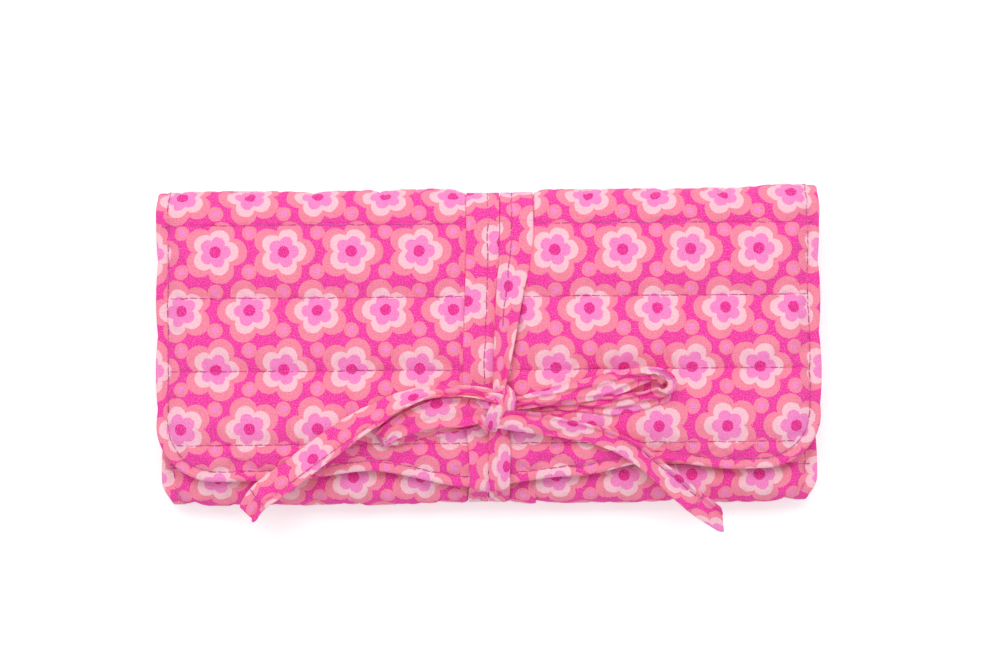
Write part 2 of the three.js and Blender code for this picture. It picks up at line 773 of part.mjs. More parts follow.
function addSlider() {
  const plates = { depth: SLIDER_LENGTH, bevelEnabled: false };
  const along = new THREE.ExtrudeGeometry(sliderSection(), plates);
  along.translate(0, 0, -SLIDER_LENGTH / 2).rotateX(Math.PI / 2).rotateZ(Math.PI / 2);
  const plateMiddle = channelLow - SLIDER_PLATE / 2;
  const under = box(SLIDER_LENGTH, SLIDER_WIDTH, SLIDER_PLATE, 0, 0, plateMiddle);
  const postHeight = bridgeBase - plateMiddle - SLIDER_PLATE / 2;
  const postX = (SLIDER_LENGTH - POST_LENGTH) / 2;
  const post = box(POST_LENGTH, SLIDER_POST, postHeight, postX, 0, plateMiddle + postHeight / 2);
  const arch = new THREE.ExtrudeGeometry(bridgeProfile(), { depth: BRIDGE_WIDTH, bevelEnabled: false });
  arch.translate(0, 0, -BRIDGE_WIDTH / 2).rotateX(Math.PI / 2);
  const body = toSolid(along).add(toSolid(under)).add(toSolid(post)).add(toSolid(arch));
  addPiece("zip_slider", toGeometry(body), "metal", slider);
}

addSlider();

// The pull tab, hung on the bridge by the bar of its eye and lying flat along the zip
function addPull() {
  const half = PULL_WIDTH / 2;
  const outline = new THREE.Shape();
  outline.moveTo(-PULL_BAR / 2, -half);
  outline.lineTo(PULL_LENGTH - half, -half);
  outline.absarc(PULL_LENGTH - half, 0, half, -Math.PI / 2, Math.PI / 2);
  outline.lineTo(-PULL_BAR / 2, half);
  const eye = new THREE.Path();
  const eyeHalf = half - PULL_RIM;
  eye.moveTo(PULL_BAR / 2, -eyeHalf);
  eye.lineTo(PULL_BAR / 2 + PULL_WINDOW, -eyeHalf);
  eye.lineTo(PULL_BAR / 2 + PULL_WINDOW, eyeHalf);
  eye.lineTo(PULL_BAR / 2, eyeHalf);
  outline.holes.push(eye);
  const options = { depth: PULL_THICKNESS, bevelEnabled: false, curveSegments: CURVE_STEPS };
  const tab = new THREE.ExtrudeGeometry(outline, options);
  const pull = addPiece("zip_pull", tab, "metal", slider);
  pull.position.z = pullAxis - PULL_THICKNESS / 2;
}

addPull();

// Slip pocket on the flap's lining, with a bound mouth towards the top fold
const slipBase = flapFace - GAP - SLIP_THICKNESS / 2;
const slipLow = hemY + SLIP_FROM_HEM;
const slipHigh = slipLow + SLIP_HEIGHT;
const slipWidth = FLAP_WIDTH - 2 * (SLIP_INSET + HEM_WIDTH);
const slipMiddle = (slipLow + slipHigh) / 2;
addPiece("slip_pocket", box(slipWidth, SLIP_HEIGHT, SLIP_THICKNESS, 0, slipMiddle, slipBase), "lining");
const bindingY = slipHigh + GAP + SLIP_BINDING / 2;
const binding = box(slipWidth, SLIP_BINDING, SLIP_THICKNESS, 0, bindingY, slipBase);
addPiece("slip_pocket_binding", binding, "print");

// The sewn bar that holds the tie's two halves to the back, beside the turn that crosses them
function addBartack() {
  const out = tieSeat(backMiddle) + layerHeight(2) - TIE_THICKNESS / 2 + BARTACK_THICKNESS / 2;
  const at = sheetPoint(backMiddle, TIE_LEFT + BARTACK_FROM_EDGE + BARTACK_WIDTH / 2, out);
  const tack = box(BARTACK_WIDTH, BARTACK_LENGTH, BARTACK_THICKNESS, at.x, at.y, at.z);
  addPiece("tie_bartack", tack, "thread");
}

addBartack();

export default pouch;
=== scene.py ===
import math
import random

import bpy
import numpy as np
from mathutils import Matrix, Vector
from mathutils.bvhtree import BVHTree


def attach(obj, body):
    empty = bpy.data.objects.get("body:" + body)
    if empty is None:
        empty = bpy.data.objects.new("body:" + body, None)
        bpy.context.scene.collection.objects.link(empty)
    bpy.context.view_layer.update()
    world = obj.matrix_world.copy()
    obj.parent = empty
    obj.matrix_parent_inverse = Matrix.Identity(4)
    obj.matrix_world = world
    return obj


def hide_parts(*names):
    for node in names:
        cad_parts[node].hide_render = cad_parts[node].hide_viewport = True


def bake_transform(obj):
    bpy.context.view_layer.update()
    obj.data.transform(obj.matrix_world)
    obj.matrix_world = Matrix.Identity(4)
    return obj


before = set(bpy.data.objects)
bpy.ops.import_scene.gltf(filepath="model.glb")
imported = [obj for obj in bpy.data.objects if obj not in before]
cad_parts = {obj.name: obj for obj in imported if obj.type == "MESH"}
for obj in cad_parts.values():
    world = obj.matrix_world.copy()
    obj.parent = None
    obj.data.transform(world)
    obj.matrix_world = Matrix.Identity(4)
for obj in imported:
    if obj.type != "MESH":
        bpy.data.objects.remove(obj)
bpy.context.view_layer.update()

# A quilted cotton jewelry pouch, folded in three and tied with a bow. Sizes are in millimetres, in
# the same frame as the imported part, and become metres as each mesh is made.

bpy.ops.object.select_all(action="DESELECT")

MM = 0.001

# Closed pouch
POUCH_WIDTH = 220.0
POUCH_DEPTH = 105.0
FLAP_OVERHANG = 1.0
FLAP_CORNER = 20.0
HEM_FROM_BOTTOM = 9.0
FRONT_LENGTH = 40.0
TOP_FLARE = 0.9
BOTTOM_TUCK = 2.7
CORNER_BULGE = 1.2
CORNER_BULGE_FROM = 80.0
CORNER_BULGE_TO = 104.0

# How far the flap's hem rises at shares of its half width
HEM_WAVE = [
    (-0.82, -1.6),
    (-0.6, -1.2),
    (-0.36, 1.6),
    (-0.05, -4.0),
    (0.25, -0.6),
    (0.5, 4.0),
    (0.74, 1.4),
    (0.82, 1.6),
]

# Quilted sheet
CROWN = 5.0
VALLEY = 4.05
ROW_CREASE = 0.3
ROW_CREASE_WIDTH = 0.7
LOFT_SPREAD = 0.06
PUCKER = 0.26
PUCKER_ON_FOLD = 0.1
PUCKER_FROM_ROW = 0.9
PUCKER_REACH = 5.0
PLEAT_EDGE = 15.4
PLEAT_RISE = 0.7
PLEAT_RUN = 1.0
PLEAT_DROP = 0.3
ARCH_POWER = 3.4
QUILT_PITCH = 24.4
QUILT_FROM_FOLD = 1.0
FRONT_ROW_RISE = 4.6
ROWS_TO_FRONT = 6
ROWS_HIDDEN = 8
ROWS_ON_FLAP = 4
ROW_SPARE = 0.5

# Hem, topstitching and lining of the sheet
HEM_WIDTH = 4.5
HEM_THICKNESS = 2.4
HEM_RISE = 6.5
HEM_RUN_IN = 1.2
HEM_BLEND = 0.8
HEM_PUCKER = 0.22
HEM_PUCKER_AT = 5.5
HEM_PUCKER_WIDTH = 2.0
HEM_STITCH = 3.3
HEM_STITCH_DENT = 0.3
HEM_STITCH_WIDTH = 0.6
SIDE_STITCH = 4.3
ROW_CLEAR = 1.5
SCALLOP = 0.7
EDGE_ROUND = 1.2
CLOTH_ROUND = 0.5
LINING_THICKNESS = 0.6
LINING_CLEAR = 0.15
LINING_RUN = 0.5
LINING_WAVE_RUN = 6.0
FRONT_SPACE = 5.0
FLAP_SPACE = 2.6
GAP = 0.3

# Flap: the share of each corner that belongs to its side, and how far its rim is followed past the fold
SIDE_SHARE = 0.7
RIM_PAST_FOLD = 20.0

# Cloth simulation: the model is ten times life size, and a point moves no further than the cap
SIMULATION_SCALE = 0.01
SIMULATION_FRAMES = 18
SWELL_CAP = 1.1
HELD_BY_ROW = 0.02
HELD_BY_TIE = 1.0
CLOTH_SETTINGS = {
    "quality": 5,
    "mass": 0.15,
    "tension_stiffness": 15,
    "compression_stiffness": 15,
    "shear_stiffness": 5,
    "bending_stiffness": 0.05,
    "vertex_group_mass": "seams",
    "use_pressure": True,
    "uniform_pressure_force": 1.5,
    "shrink_min": -0.035,
}

# Tie
TIE_WIDTH = 11.2
TIE_THICKNESS = 1.0
TIE_LEFT = -7.2
TIE_SEAT_BACK = 2.2
TIE_SEAT_BOTTOM = 3.5
TIE_SEAT_FLAP = 3.6
TIE_GATHERED = 7.0
STRAND_LEFT = -0.2
TIE_SINK_SHARE = 0.3
TIE_SINK_END = 0.55
TIE_SINK_RISE = 0.05
TIE_ZONE_EDGE = 0.3
TIE_DRIFT = 1.6
TIE_RAMP = 9.0
TIE_INLAY = 1.45
TIE_INLAY_FROM = -0.7
TIE_INLAY_TO = 0.3
TIE_BLEND = 0.5
TIE_TURN_RADIUS = 1.4
TIE_EDGE_STEPS = (-0.6, -0.15, 0.25, 0.65, 1.1)
TIE_EDGE_CLEAR = 0.35
TIE_EASE = 0.1
TIE_SEAM = 3.8
TIE_CUT = 0.002

# Faces of the tie's strips: rounded edges, seams, gathers, crumples, and the second turn's rolled edge
STRIP_ROUND = 0.09
STRIP_UNEVEN = 0.12
STRIP_EDGE_WAVE = 0.25
SEAM_GROOVE = 0.22
SEAM_GROOVE_WIDTH = 0.5
GATHER_WANDER = 1.6
GATHER_POWER = 0.8
GATHER_SINK = 1.2
GATHER_RIPPLE = 0.15
CRUMPLE_POWER = 0.8
CRUMPLE_SHARE = 0.5
LUMP_CREASE = 0.05
LUMP_STATIONS = (49, 25)
SECOND_GATHERS = (0.3, 1.0)
SECOND_ROLL = 0.8
SECOND_ROLL_EDGE = (0.55, 0.95)
SECOND_ROLL_START = (0.03, 0.2)

# Bar of thread on the back, and the knot
BARTACK_WIDTH = 4.0
BARTACK_LENGTH = 9.0
BARTACK_FROM_EDGE = 0.8
BARTACK_ROWS = 18
BARTACK_SLANT = 0.3
KNOT_X = 3.5
KNOT_FROM_HEM = 22.0
KNOT_LENGTH = 14.0
KNOT_RIGHT = 6.0

# Tails of the bow: a rolled rim, in shares of the half width, loose cloth, and a sewn end
RIM_START = 0.56
RIM_END = 0.78
RIM_GROOVE = 0.4
RIM_GROOVE_AT = 0.5
RIM_GROOVE_WIDTH = 0.12
TAIL_TIGHT_TO = 12.0
TAIL_LOOSE_FROM = 40.0
TAIL_DENTS = 0.28
TAIL_EDGE_WAVE = 0.5
TAIL_HEM = 0.5
TAIL_HEM_FROM = 9.5
TAIL_HEM_TO = 8.5
TAIL_SLANT_RUN = 8.0
TAIL_CORNER = 1.9

# Zip pocket and slip pocket
ZIP_FROM_FOLD = 18.0
ZIP_SLOT = 11.0
ZIP_INSET = 19.0
ZIP_STOP_LENGTH = 2.4
POCKET_INSET = 10.0
POCKET_MARGIN = 4.0
POCKET_THICKNESS = 2.0
POCKET_CLEAR = 0.1
POCKET_STITCH = 1.6
TAPE_THICKNESS = 0.4
COIL_SIZE = 1.0
COIL_SPLIT = 0.7
COIL_PITCH = 0.9
COIL_WIRE = 0.2
COIL_SLANT = 0.25
TAPE_HEIGHT = 1.6
SLIP_INSET = 16.5
SLIP_FROM_HEM = 9.0
SLIP_HEIGHT = 34.0
SLIP_THICKNESS = 0.8
SLIP_BINDING = 3.0
BINDING_STITCH = 0.8
STOP_RIM = 0.45
STOP_DISH = 0.25

# Stitches
STITCH_PITCH = 3.27
STITCH_FILL = 0.95
STITCH_SWAY = 0.26
STITCH_TWIST = 6
STITCH_SINK = 0.02
CROSS_STITCHES = 7
THREAD = 0.38

# One stitch, from its sunken start ring by ring: the place along it, the height in thread radii,
# and the size against the ring before
STITCH_SIDES = 6
STITCH_START = (-0.5, -0.9, 0.6)
STITCH_RINGS = (
    (-0.4, 0.35, 1.6),
    (-0.15, 0.75, 1.05),
    (0.15, 0.75, 1.0),
    (0.4, 0.35, 0.95),
    (0.5, -0.9, 0.6),
)

# Spacing of the points on cloth
CLOTH_STEP = 1.09
LINING_STEP = 2.6
TAPE_STEP = 1.6
NARROW_STEP = 1.2
STRIP_STEP = 0.9
SEWING_STEP = 0.8
SIDE_STATIONS = 40
ARC_STATIONS = 60
HEM_STATIONS = 240
SHARP_ANGLE = 50.0
WELD_DIGITS = 4
EDGE_STEPS = (0.0, 0.1, 0.32, 0.7, 1.2, 1.8, 2.5, 3.2, 4.0)

# Room to spare where a count or a comparison is on its limit
EDGE_SPARE = 0.2
SPARE = 0.01
TINY = 1e-6

# Metal of the zip
METAL_WELD = 0.00001
METAL_FLAT = 1.0
METAL_SHARP = 40.0
METAL_ROUND_STEPS = 3

# Millimetres of cloth to one unit of its flat map
MAP_UNIT = 100

# Heights and fold axes of the closed pouch
back_face = CROWN
front_face = back_face + FRONT_SPACE
front_top = front_face + CROWN
flap_face = front_top + FLAP_SPACE
flap_top = flap_face + CROWN
bottom_radius = front_top / 2
top_radius = flap_top / 2
bottom_y = bottom_radius - POUCH_DEPTH / 2
top_y = POUCH_DEPTH / 2 - top_radius
hem_y = HEM_FROM_BOTTOM - POUCH_DEPTH / 2
knot_y = hem_y + KNOT_FROM_HEM
pouch_half = POUCH_WIDTH / 2
flap_half = pouch_half + FLAP_OVERHANG
knot_base = flap_top + GAP
over_crown = CROWN + 1.0
clear_of_crown = CROWN + 8.0

# Distances along the sheet's outer face, from the front panel's free edge
bottom_start = FRONT_LENGTH
back_start = bottom_start + math.pi * bottom_radius
top_start = back_start + top_y - bottom_y
flap_start = top_start + math.pi * top_radius
first_row = flap_start + QUILT_FROM_FOLD
hidden_pitch = (first_row - bottom_start + FRONT_ROW_RISE) / ROWS_TO_FRONT
bottom_fold = (bottom_start, back_start)
top_fold = (top_start, flap_start)

# Where the tie crosses
second_left = TIE_LEFT + TIE_WIDTH + GAP
flat_middle = TIE_LEFT + TIE_WIDTH / 2
second_middle = second_left + TIE_WIDTH / 2
strand_middle = STRAND_LEFT + TIE_GATHERED / 2
strand_right = STRAND_LEFT + TIE_GATHERED
second_right = second_left + TIE_WIDTH
flap_end = flap_start + top_y + POUCH_DEPTH / 2


# Shaping helpers

def smoothstep(value, low, high):
    share = np.clip((value - low) / (high - low), 0, 1)
    return share * share * (3 - 2 * share)


def soft_min(first, second, width):
    share = np.clip(0.5 + 0.5 * (second - first) / width, 0, 1)
    return second + (first - second) * share - width * share * (1 - share)


def dent(distance, width):
    """1 on a line, falling off softly on both sides of it."""
    return np.exp(-((distance / width) ** 2))


def waves(seed, shortest, longest, lean=math.pi, count=12):
    """A smooth random ripple over two flat measures, mostly between -1 and 1."""
    draw = random.Random(seed)
    parts = []
    for _ in range(count):
        length = math.exp(draw.uniform(math.log(shortest), math.log(longest)))
        turn = draw.uniform(-lean, lean)
        parts.append((
            2 * math.pi * math.cos(turn) / length,
            2 * math.pi * math.sin(turn) / length,
            draw.uniform(0, 2 * math.pi),
        ))

    def ripple(x, y):
        return sum(np.sin(a * x + b * y + c) for a, b, c in parts) * math.sqrt(0.5 / count)

    return ripple


def reach_along(points):
    return np.r_[0, np.cumsum(np.linalg.norm(np.diff(points, axis=0), axis=1))]


def smooth(stops, step):
    """A curve through the stops, with points a step apart; every column is carried along."""
    stops = np.asarray(stops, float)
    reach = reach_along(stops[:, :3])
    slope = np.gradient(stops, reach, axis=0)
    at = np.linspace(0, reach[-1], max(int(reach[-1] / step), 2) + 1)
    k = np.clip(np.searchsorted(reach, at, "right") - 1, 0, len(reach) - 2)
    span = (reach[k + 1] - reach[k])[:, None]
    s = (at - reach[k])[:, None] / span
    return (
        (1 + 2 * s) * (1 - s) ** 2 * stops[k]
        + s * (1 - s) ** 2 * span * slope[k]
        + s * s * (3 - 2 * s) * stops[k + 1]
        + s * s * (s - 1) * span * slope[k + 1]
    )


def unit(vectors):
    return vectors / np.linalg.norm(vectors, axis=-1, keepdims=True)


def spaced(low, high, step, fine_low=True, fine_high=True):
    """Stations from low to high a step apart, set close together at a finished edge."""
    steps = [e for e in EDGE_STEPS if 2 * e < high - low - EDGE_SPARE]
    ahead = [low + e for e in steps] if fine_low else [low]
    behind = [high - e for e in reversed(steps)] if fine_high else [high]
    count = max(int(round((behind[0] - ahead[-1]) / step)), 1)
    middle = np.linspace(ahead[-1], behind[0], count + 1)[1:-1]
    return np.array([*ahead, *middle, *behind])


# Meshes

def new_piece(name, points, faces, flats, material, second=None, second_faces=()):
    """A smooth closed mesh from points in millimetres. flats gives each point's place on the cloth."""
    places, order = np.unique(np.round(points, WELD_DIGITS), axis=0, return_inverse=True)
    order = order.ravel()
    kept, corners, marks = [], [], []
    turned = set(second_faces)
    for number, face in enumerate(faces):
        welded, flat = [], []
        for i in face:
            if order[i] not in welded:
                welded.append(int(order[i]))
                flat.append(flats[i])
        if len(welded) > 2:
            kept.append(welded)
            corners.extend(flat)
            marks.append(1 if number in turned else 0)
    mesh = bpy.data.meshes.new(name)
    mesh.from_pydata((places * MM).tolist(), [], kept)
    layer = mesh.uv_layers.new(name="cloth")
    layer.uv.foreach_set("vector", (np.array(corners) / MAP_UNIT).astype(np.float32).ravel())
    mesh.polygons.foreach_set("material_index", marks)
    mesh.shade_smooth()
    mesh.set_sharp_from_angle(angle=math.radians(SHARP_ANGLE))
    mesh.materials.append(material)
    if second is not None:
        mesh.materials.append(second)
    piece = bpy.data.objects.new(name, mesh)
    bpy.context.scene.collection.objects.link(piece)
    return piece


def grid_faces(rows, columns, start=0, turned=False):
    faces = []
    for i in range(rows - 1):
        for j in range(columns - 1):
            a = start + i * columns + j
            quad = (a, a + columns, a + columns + 1, a + 1)
            faces.append(quad[::-1] if turned else quad)
    return faces


def closed_layer(top, bottom, flat):
    """Points, faces and flat places of a closed layer between two grids that share their rim."""
    rows, columns = top.shape[:2]
    count = rows * columns
    points = np.concatenate([top.reshape(-1, 3), bottom.reshape(-1, 3)])
    under = flat * np.array([1, -1])
    flats = np.concatenate([flat.reshape(-1, 2), under.reshape(-1, 2)])
    faces = grid_faces(rows, columns)
    first_under = len(faces)
    faces += grid_faces(rows, columns, count, True)
    under_faces = range(first_under, len(faces))
    rim = [(0, j) for j in range(columns)]
    rim += [(i, columns - 1) for i in range(1, rows)]
    rim += [(rows - 1, j) for j in range(columns - 2, -1, -1)]
    rim += [(i, 0) for i in range(rows - 2, -1, -1)]
    for (i, j), (k, m) in zip(rim, rim[1:]):
        a, b = i * columns + j, k * columns + m
        faces.append((a, b, b + count, a + count))
    return points, faces, flats, under_faces


def tree_of(piece):
    mesh = piece.data
    return BVHTree.FromPolygons([v.co for v in mesh.vertices], [p.vertices for p in mesh.polygons])


def stand_in(piece, body, *nodes):
    """Shows a finished piece in place of one or more solids, moving with their body."""
    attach(piece, body)
    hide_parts(*nodes)


# Materials

class Finish:
    """A material under the hand: short ways to add and join its nodes."""

    def __init__(self, name, roughness, specular=0.5, **sockets):
        self.material = bpy.data.materials.new(name)
        self.material.use_nodes = True
        self.tree = self.material.node_tree
        self.shader = self.tree.nodes["Principled BSDF"]
        self.shader.inputs["Roughness"].default_value = roughness
        self.shader.inputs["Specular IOR Level"].default_value = specular
        for socket, value in sockets.items():
            self.shader.inputs[socket.replace("_", " ")].default_value = value

    def node(self, kind, *values, **settings):
        made = self.tree.nodes.new("ShaderNode" + kind)
        for key, value in settings.items():
            setattr(made, key, value)
        for socket, value in zip(made.inputs, values):
            self.feed(socket, value)
        return made

    def feed(self, socket, value):
        if isinstance(value, bpy.types.NodeSocket):
            self.tree.links.new(value, socket)
        elif value is not None:
            socket.default_value = value

    def math(self, operation, *values):
        return self.node("Math", *values, operation=operation).outputs[0]

    def cloth_place(self):
        """Millimetres across and along the cloth, as two values and as one vector."""
        place = self.node("UVMap", uv_map="cloth").outputs[0]
        scaled = self.stretched(place, MAP_UNIT, MAP_UNIT, 0)
        split = self.node("SeparateXYZ", scaled)
        return split.outputs[0], split.outputs[1], scaled

    def object_place(self):
        """Millimetres in the part's own frame."""
        return self.stretched(self.node("TexCoord").outputs["Object"], *[1 / MM] * 3)

    def stretched(self, place, x, y, z=1.0):
        return self.node("VectorMath", place, (x, y, z), operation="MULTIPLY").outputs[0]

    def noise(self, place, scale, detail=2.0, roughness=0.5, output="Fac"):
        made = self.node("TexNoise", noise_dimensions="3D")
        self.feed(made.inputs["Vector"], place)
        made.inputs["Scale"].default_value = scale
        made.inputs["Detail"].default_value = detail
        made.inputs["Roughness"].default_value = roughness
        return made.outputs[output]

    def mask(self, value, low, high):
        """1 where the value is below low, 0 above high, with a soft edge between."""
        made = self.node("MapRange", value, low, high, 1.0, 0.0, interpolation_type="SMOOTHSTEP")
        return made.outputs[0]

    def span(self, value, low, high, to_low, to_high):
        return self.node("MapRange", value, low, high, to_low, to_high).outputs[0]

    def mix(self, share, first, second, blend="MIX"):
        made = self.node("Mix", data_type="RGBA", blend_type=blend)
        self.feed(made.inputs[0], share)
        self.feed(made.inputs[6], first)
        self.feed(made.inputs[7], second)
        return made.outputs[2]

    def tinted(self, value, low, high, most, first, second, blend="MIX"):
        """The first colour, with more and more of the second as a value goes from low to high."""
        return self.mix(self.span(value, low, high, 0.0, most), first, second, blend)

    def spotted(self, far, radius, edge, ground, tone):
        """The ground's colour, and the tone wherever a distance is under a radius."""
        return self.mix(self.mask(far, radius - edge, radius + edge), ground, tone)

    def bump(self, height, distance, strength=1.0):
        made = self.node("Bump")
        made.inputs["Strength"].default_value = strength
        made.inputs["Distance"].default_value = distance * MM
        self.feed(made.inputs["Height"], height)
        self.feed(self.shader.inputs["Normal"], made.outputs[0])

    def colour(self, value):
        self.feed(self.shader.inputs["Base Color"], value)


def paint(red, green, blue):
    """A colour by its screen values, 0 to 255, as the shader wants it."""
    shares = [c / 255 for c in (red, green, blue)]
    return (*[((c + 0.055) / 1.055) ** 2.4 if c > 0.04045 else c / 12.92 for c in shares], 1.0)


WEAVE_PITCH = 0.55
WEAVE_RELIEF = 0.06
SLUB_FINE = 3.2
SLUB_LONG = 0.22
BLOSSOM_PITCH = 22.6
BLOSSOM_PETALS = 5
BLOSSOM_WAIST = 7.4
BLOSSOM_PETAL = 3.3
BLOSSOM_ROUND = 0.75
BUD_RADIUS = 2.5
BUD_EDGE = 0.1
RING_EDGE = 0.012
EYE_RADIUS = 1.925
EYE_EDGE = 0.125
PRINT_DRIFT = 0.5
TAPE_RIB = 0.5
TAPE_ZIGZAG = 0.7
THREAD_LAY = 0.35
THREAD_TURNS = 9.0
GROUND = paint(248, 56, 166)
CORAL = paint(252, 139, 165)
CREAM = paint(255, 204, 215)
ORCHID = paint(252, 139, 206)
DEEP = paint(240, 36, 152)
PALE_FLECK = paint(255, 190, 216)
DARK_FLECK = paint(226, 40, 140)
LINING_DARK = paint(240, 172, 200)
LINING_LIGHT = paint(250, 204, 222)
LINING_FLECK = paint(255, 232, 240)
# Tape tones: its pink with painted shade for the rib hollows, its pink with painted highlight for the
# rib crests, and a random middle tone of the weave
TAPE_RIB_SHADE = paint(206, 92, 152)
TAPE_RIB_HIGHLIGHT = paint(238, 134, 190)
TAPE_MIDDLE = paint(224, 112, 172)
NYLON_DARK = paint(212, 82, 154)
NYLON_LIGHT = paint(228, 108, 172)
BRASS_DULL = paint(204, 178, 118)
BRASS_BRIGHT = paint(232, 212, 158)
# Thread tones: its orchid darkened with painted shade of the groove each seam lies in, and a last tone
# of painted shade between the twisted plies
THREAD_DARK = paint(198, 36, 136)
THREAD_LIGHT = paint(238, 122, 198)
THREAD_PLY_SHADE = paint(164, 20, 114)
BLOSSOM_RINGS = ((1.0, CORAL), (0.73, CREAM), (0.49, ORCHID))


def slubs(finish, place):
    """Uneven threads: long light and dark streaks both ways, between about 0 and 1."""
    warp = finish.noise(finish.stretched(place, SLUB_FINE, SLUB_LONG), 1.0)
    weft = finish.noise(finish.stretched(place, SLUB_LONG, SLUB_FINE), 1.0)
    return finish.math("MULTIPLY", finish.math("ADD", warp, weft), 0.5)


def raise_weave(finish, u, v, grain, roughness):
    """The relief of a plain weave: warp and weft pass over and under each other, unevenly."""
    turn = 2 * math.pi / WEAVE_PITCH
    warp, weft = (finish.math("SINE", finish.math("MULTIPLY", way, turn)) for way in (u, v))
    threads = finish.math("MULTIPLY", warp, weft)
    cloth = finish.math("ADD", threads, finish.math("MULTIPLY", grain, roughness))
    finish.bump(cloth, WEAVE_RELIEF, 0.7)


def nearest_blossom(finish, u, v, shift_u, shift_v):
    """Offsets and distance from the nearest spot of staggered rows, and if its row is an odd one."""
    tall = BLOSSOM_PITCH * math.sqrt(3)

    def offset(value, period, shift):
        turn = finish.math("FRACT", finish.math("ADD", finish.math("DIVIDE", value, period), shift))
        return finish.math("MULTIPLY", finish.math("SUBTRACT", turn, 0.5), period)

    spots = []
    for half in (0.0, 0.5):
        x = offset(u, BLOSSOM_PITCH, shift_u / BLOSSOM_PITCH + half)
        y = offset(v, tall, shift_v / tall + half)
        square = finish.math("ADD", finish.math("POWER", x, 2.0), finish.math("POWER", y, 2.0))
        spots.append((x, y, finish.math("SQRT", square)))
    odd = finish.math("LESS_THAN", spots[0][2], spots[1][2])
    picked = []
    for first, second in zip(*spots):
        change = finish.math("SUBTRACT", first, second)
        picked.append(finish.math("MULTIPLY_ADD", change, odd, second))
    return *picked, odd


def blossom_share(finish, x, y, far, odd):
    """0 in the middle of a round-petalled blossom and 1 on its rim; alternate rows are turned."""
    lean = finish.math("ARCTAN2", y, x)
    angle = finish.math("MULTIPLY_ADD", odd, math.pi / BLOSSOM_PETALS, lean)
    lobe = finish.math("COSINE", finish.math("MULTIPLY", angle, BLOSSOM_PETALS / 2))
    round_lobe = finish.math("POWER", finish.math("ABSOLUTE", lobe), BLOSSOM_ROUND)
    rim = finish.math("MULTIPLY_ADD", round_lobe, BLOSSOM_PETAL, BLOSSOM_WAIST)
    return finish.math("DIVIDE", far, rim)


def printed_cotton():
    """Matt plain-weave cotton printed with staggered rows of five-petalled blossoms on magenta."""
    finish = Finish("printed_cotton", 0.86, 0.22, Sheen_Weight=0.1, Sheen_Roughness=0.45)
    u, v, place = finish.cloth_place()
    drift = finish.node("SeparateXYZ", finish.noise(place, 0.9, output="Color"))
    u = finish.math("MULTIPLY_ADD", drift.outputs[0], PRINT_DRIFT, u)
    v = finish.math("MULTIPLY_ADD", drift.outputs[1], PRINT_DRIFT, v)
    colour = GROUND
    third = BLOSSOM_PITCH / (2 * math.sqrt(3))
    for shift in (-third, third):
        far = nearest_blossom(finish, u, v, BLOSSOM_PITCH / 2, shift)[2]
        colour = finish.spotted(far, BUD_RADIUS, BUD_EDGE, colour, CORAL)
        colour = finish.spotted(far, BUD_RADIUS / 2, BUD_EDGE, colour, ORCHID)
    x, y, far, odd = nearest_blossom(finish, u, v, 0.0, 0.0)
    share = blossom_share(finish, x, y, far, odd)
    for size, tone in BLOSSOM_RINGS:
        colour = finish.spotted(share, size, RING_EDGE, colour, tone)
    colour = finish.spotted(far, EYE_RADIUS, EYE_EDGE, colour, DEEP)
    grain = finish.noise(place, 2.3, 3.0, 0.75)
    streaks = finish.math("MULTIPLY", slubs(finish, place), 0.5)
    shade = finish.span(finish.math("MULTIPLY_ADD", grain, 0.5, streaks), 0.34, 0.66, 0.86, 1.1)
    grey = finish.node("CombineXYZ", shade, shade, shade).outputs[0]
    colour = finish.mix(1.0, colour, grey, "MULTIPLY")
    colour = finish.tinted(grain, 0.5, 0.76, 0.6, colour, PALE_FLECK)
    finish.colour(finish.tinted(grain, 0.48, 0.26, 0.5, colour, DARK_FLECK, "MULTIPLY"))
    raise_weave(finish, u, v, grain, 1.6)
    return finish.material


def lining_cotton():
    """Plain pale pink cotton with an uneven weave."""
    finish = Finish("lining_cotton", 0.88, 0.2, Sheen_Weight=0.1)
    u, v, place = finish.cloth_place()
    colour = finish.tinted(slubs(finish, place), 0.35, 0.65, 1.0, LINING_DARK, LINING_LIGHT)
    grain = finish.noise(place, 2.4, 3.0, 0.7)
    finish.colour(finish.tinted(grain, 0.55, 0.8, 0.4, colour, LINING_FLECK))
    raise_weave(finish, u, v, grain, 1.4)
    return finish.material


def zip_tape_weave():
    """Dense pink herringbone tape, with painted shade in the hollows of its ribs and painted highlight
    on their crests.
    """
    finish = Finish("zip_tape_weave", 0.8, 0.25, Sheen_Weight=0.08)
    u, v, place = finish.cloth_place()
    slanted = finish.math("ADD", u, finish.math("PINGPONG", v, TAPE_ZIGZAG))
    rib = finish.math("SINE", finish.math("MULTIPLY", slanted, 2 * math.pi / TAPE_RIB))
    grain = finish.noise(place, 1.6, 2.0)
    # Painted shade and highlight: the tone follows the rib's relief
    tone = finish.tinted(rib, -1.0, 1.0, 1.0, TAPE_RIB_SHADE, TAPE_RIB_HIGHLIGHT)
    finish.colour(finish.tinted(grain, 0.35, 0.7, 0.4, tone, TAPE_MIDDLE))
    finish.bump(rib, 0.05, 0.8)
    return finish.material


def nylon_coil():
    """Satin moulded nylon, a little paler or darker at random."""
    finish = Finish("nylon_coil", 0.38, 0.5)
    grain = finish.noise(finish.object_place(), 0.8, 3.0)
    finish.colour(finish.tinted(grain, 0.3, 0.7, 1.0, NYLON_DARK, NYLON_LIGHT))
    finish.bump(grain, 0.02, 0.4)
    return finish.material


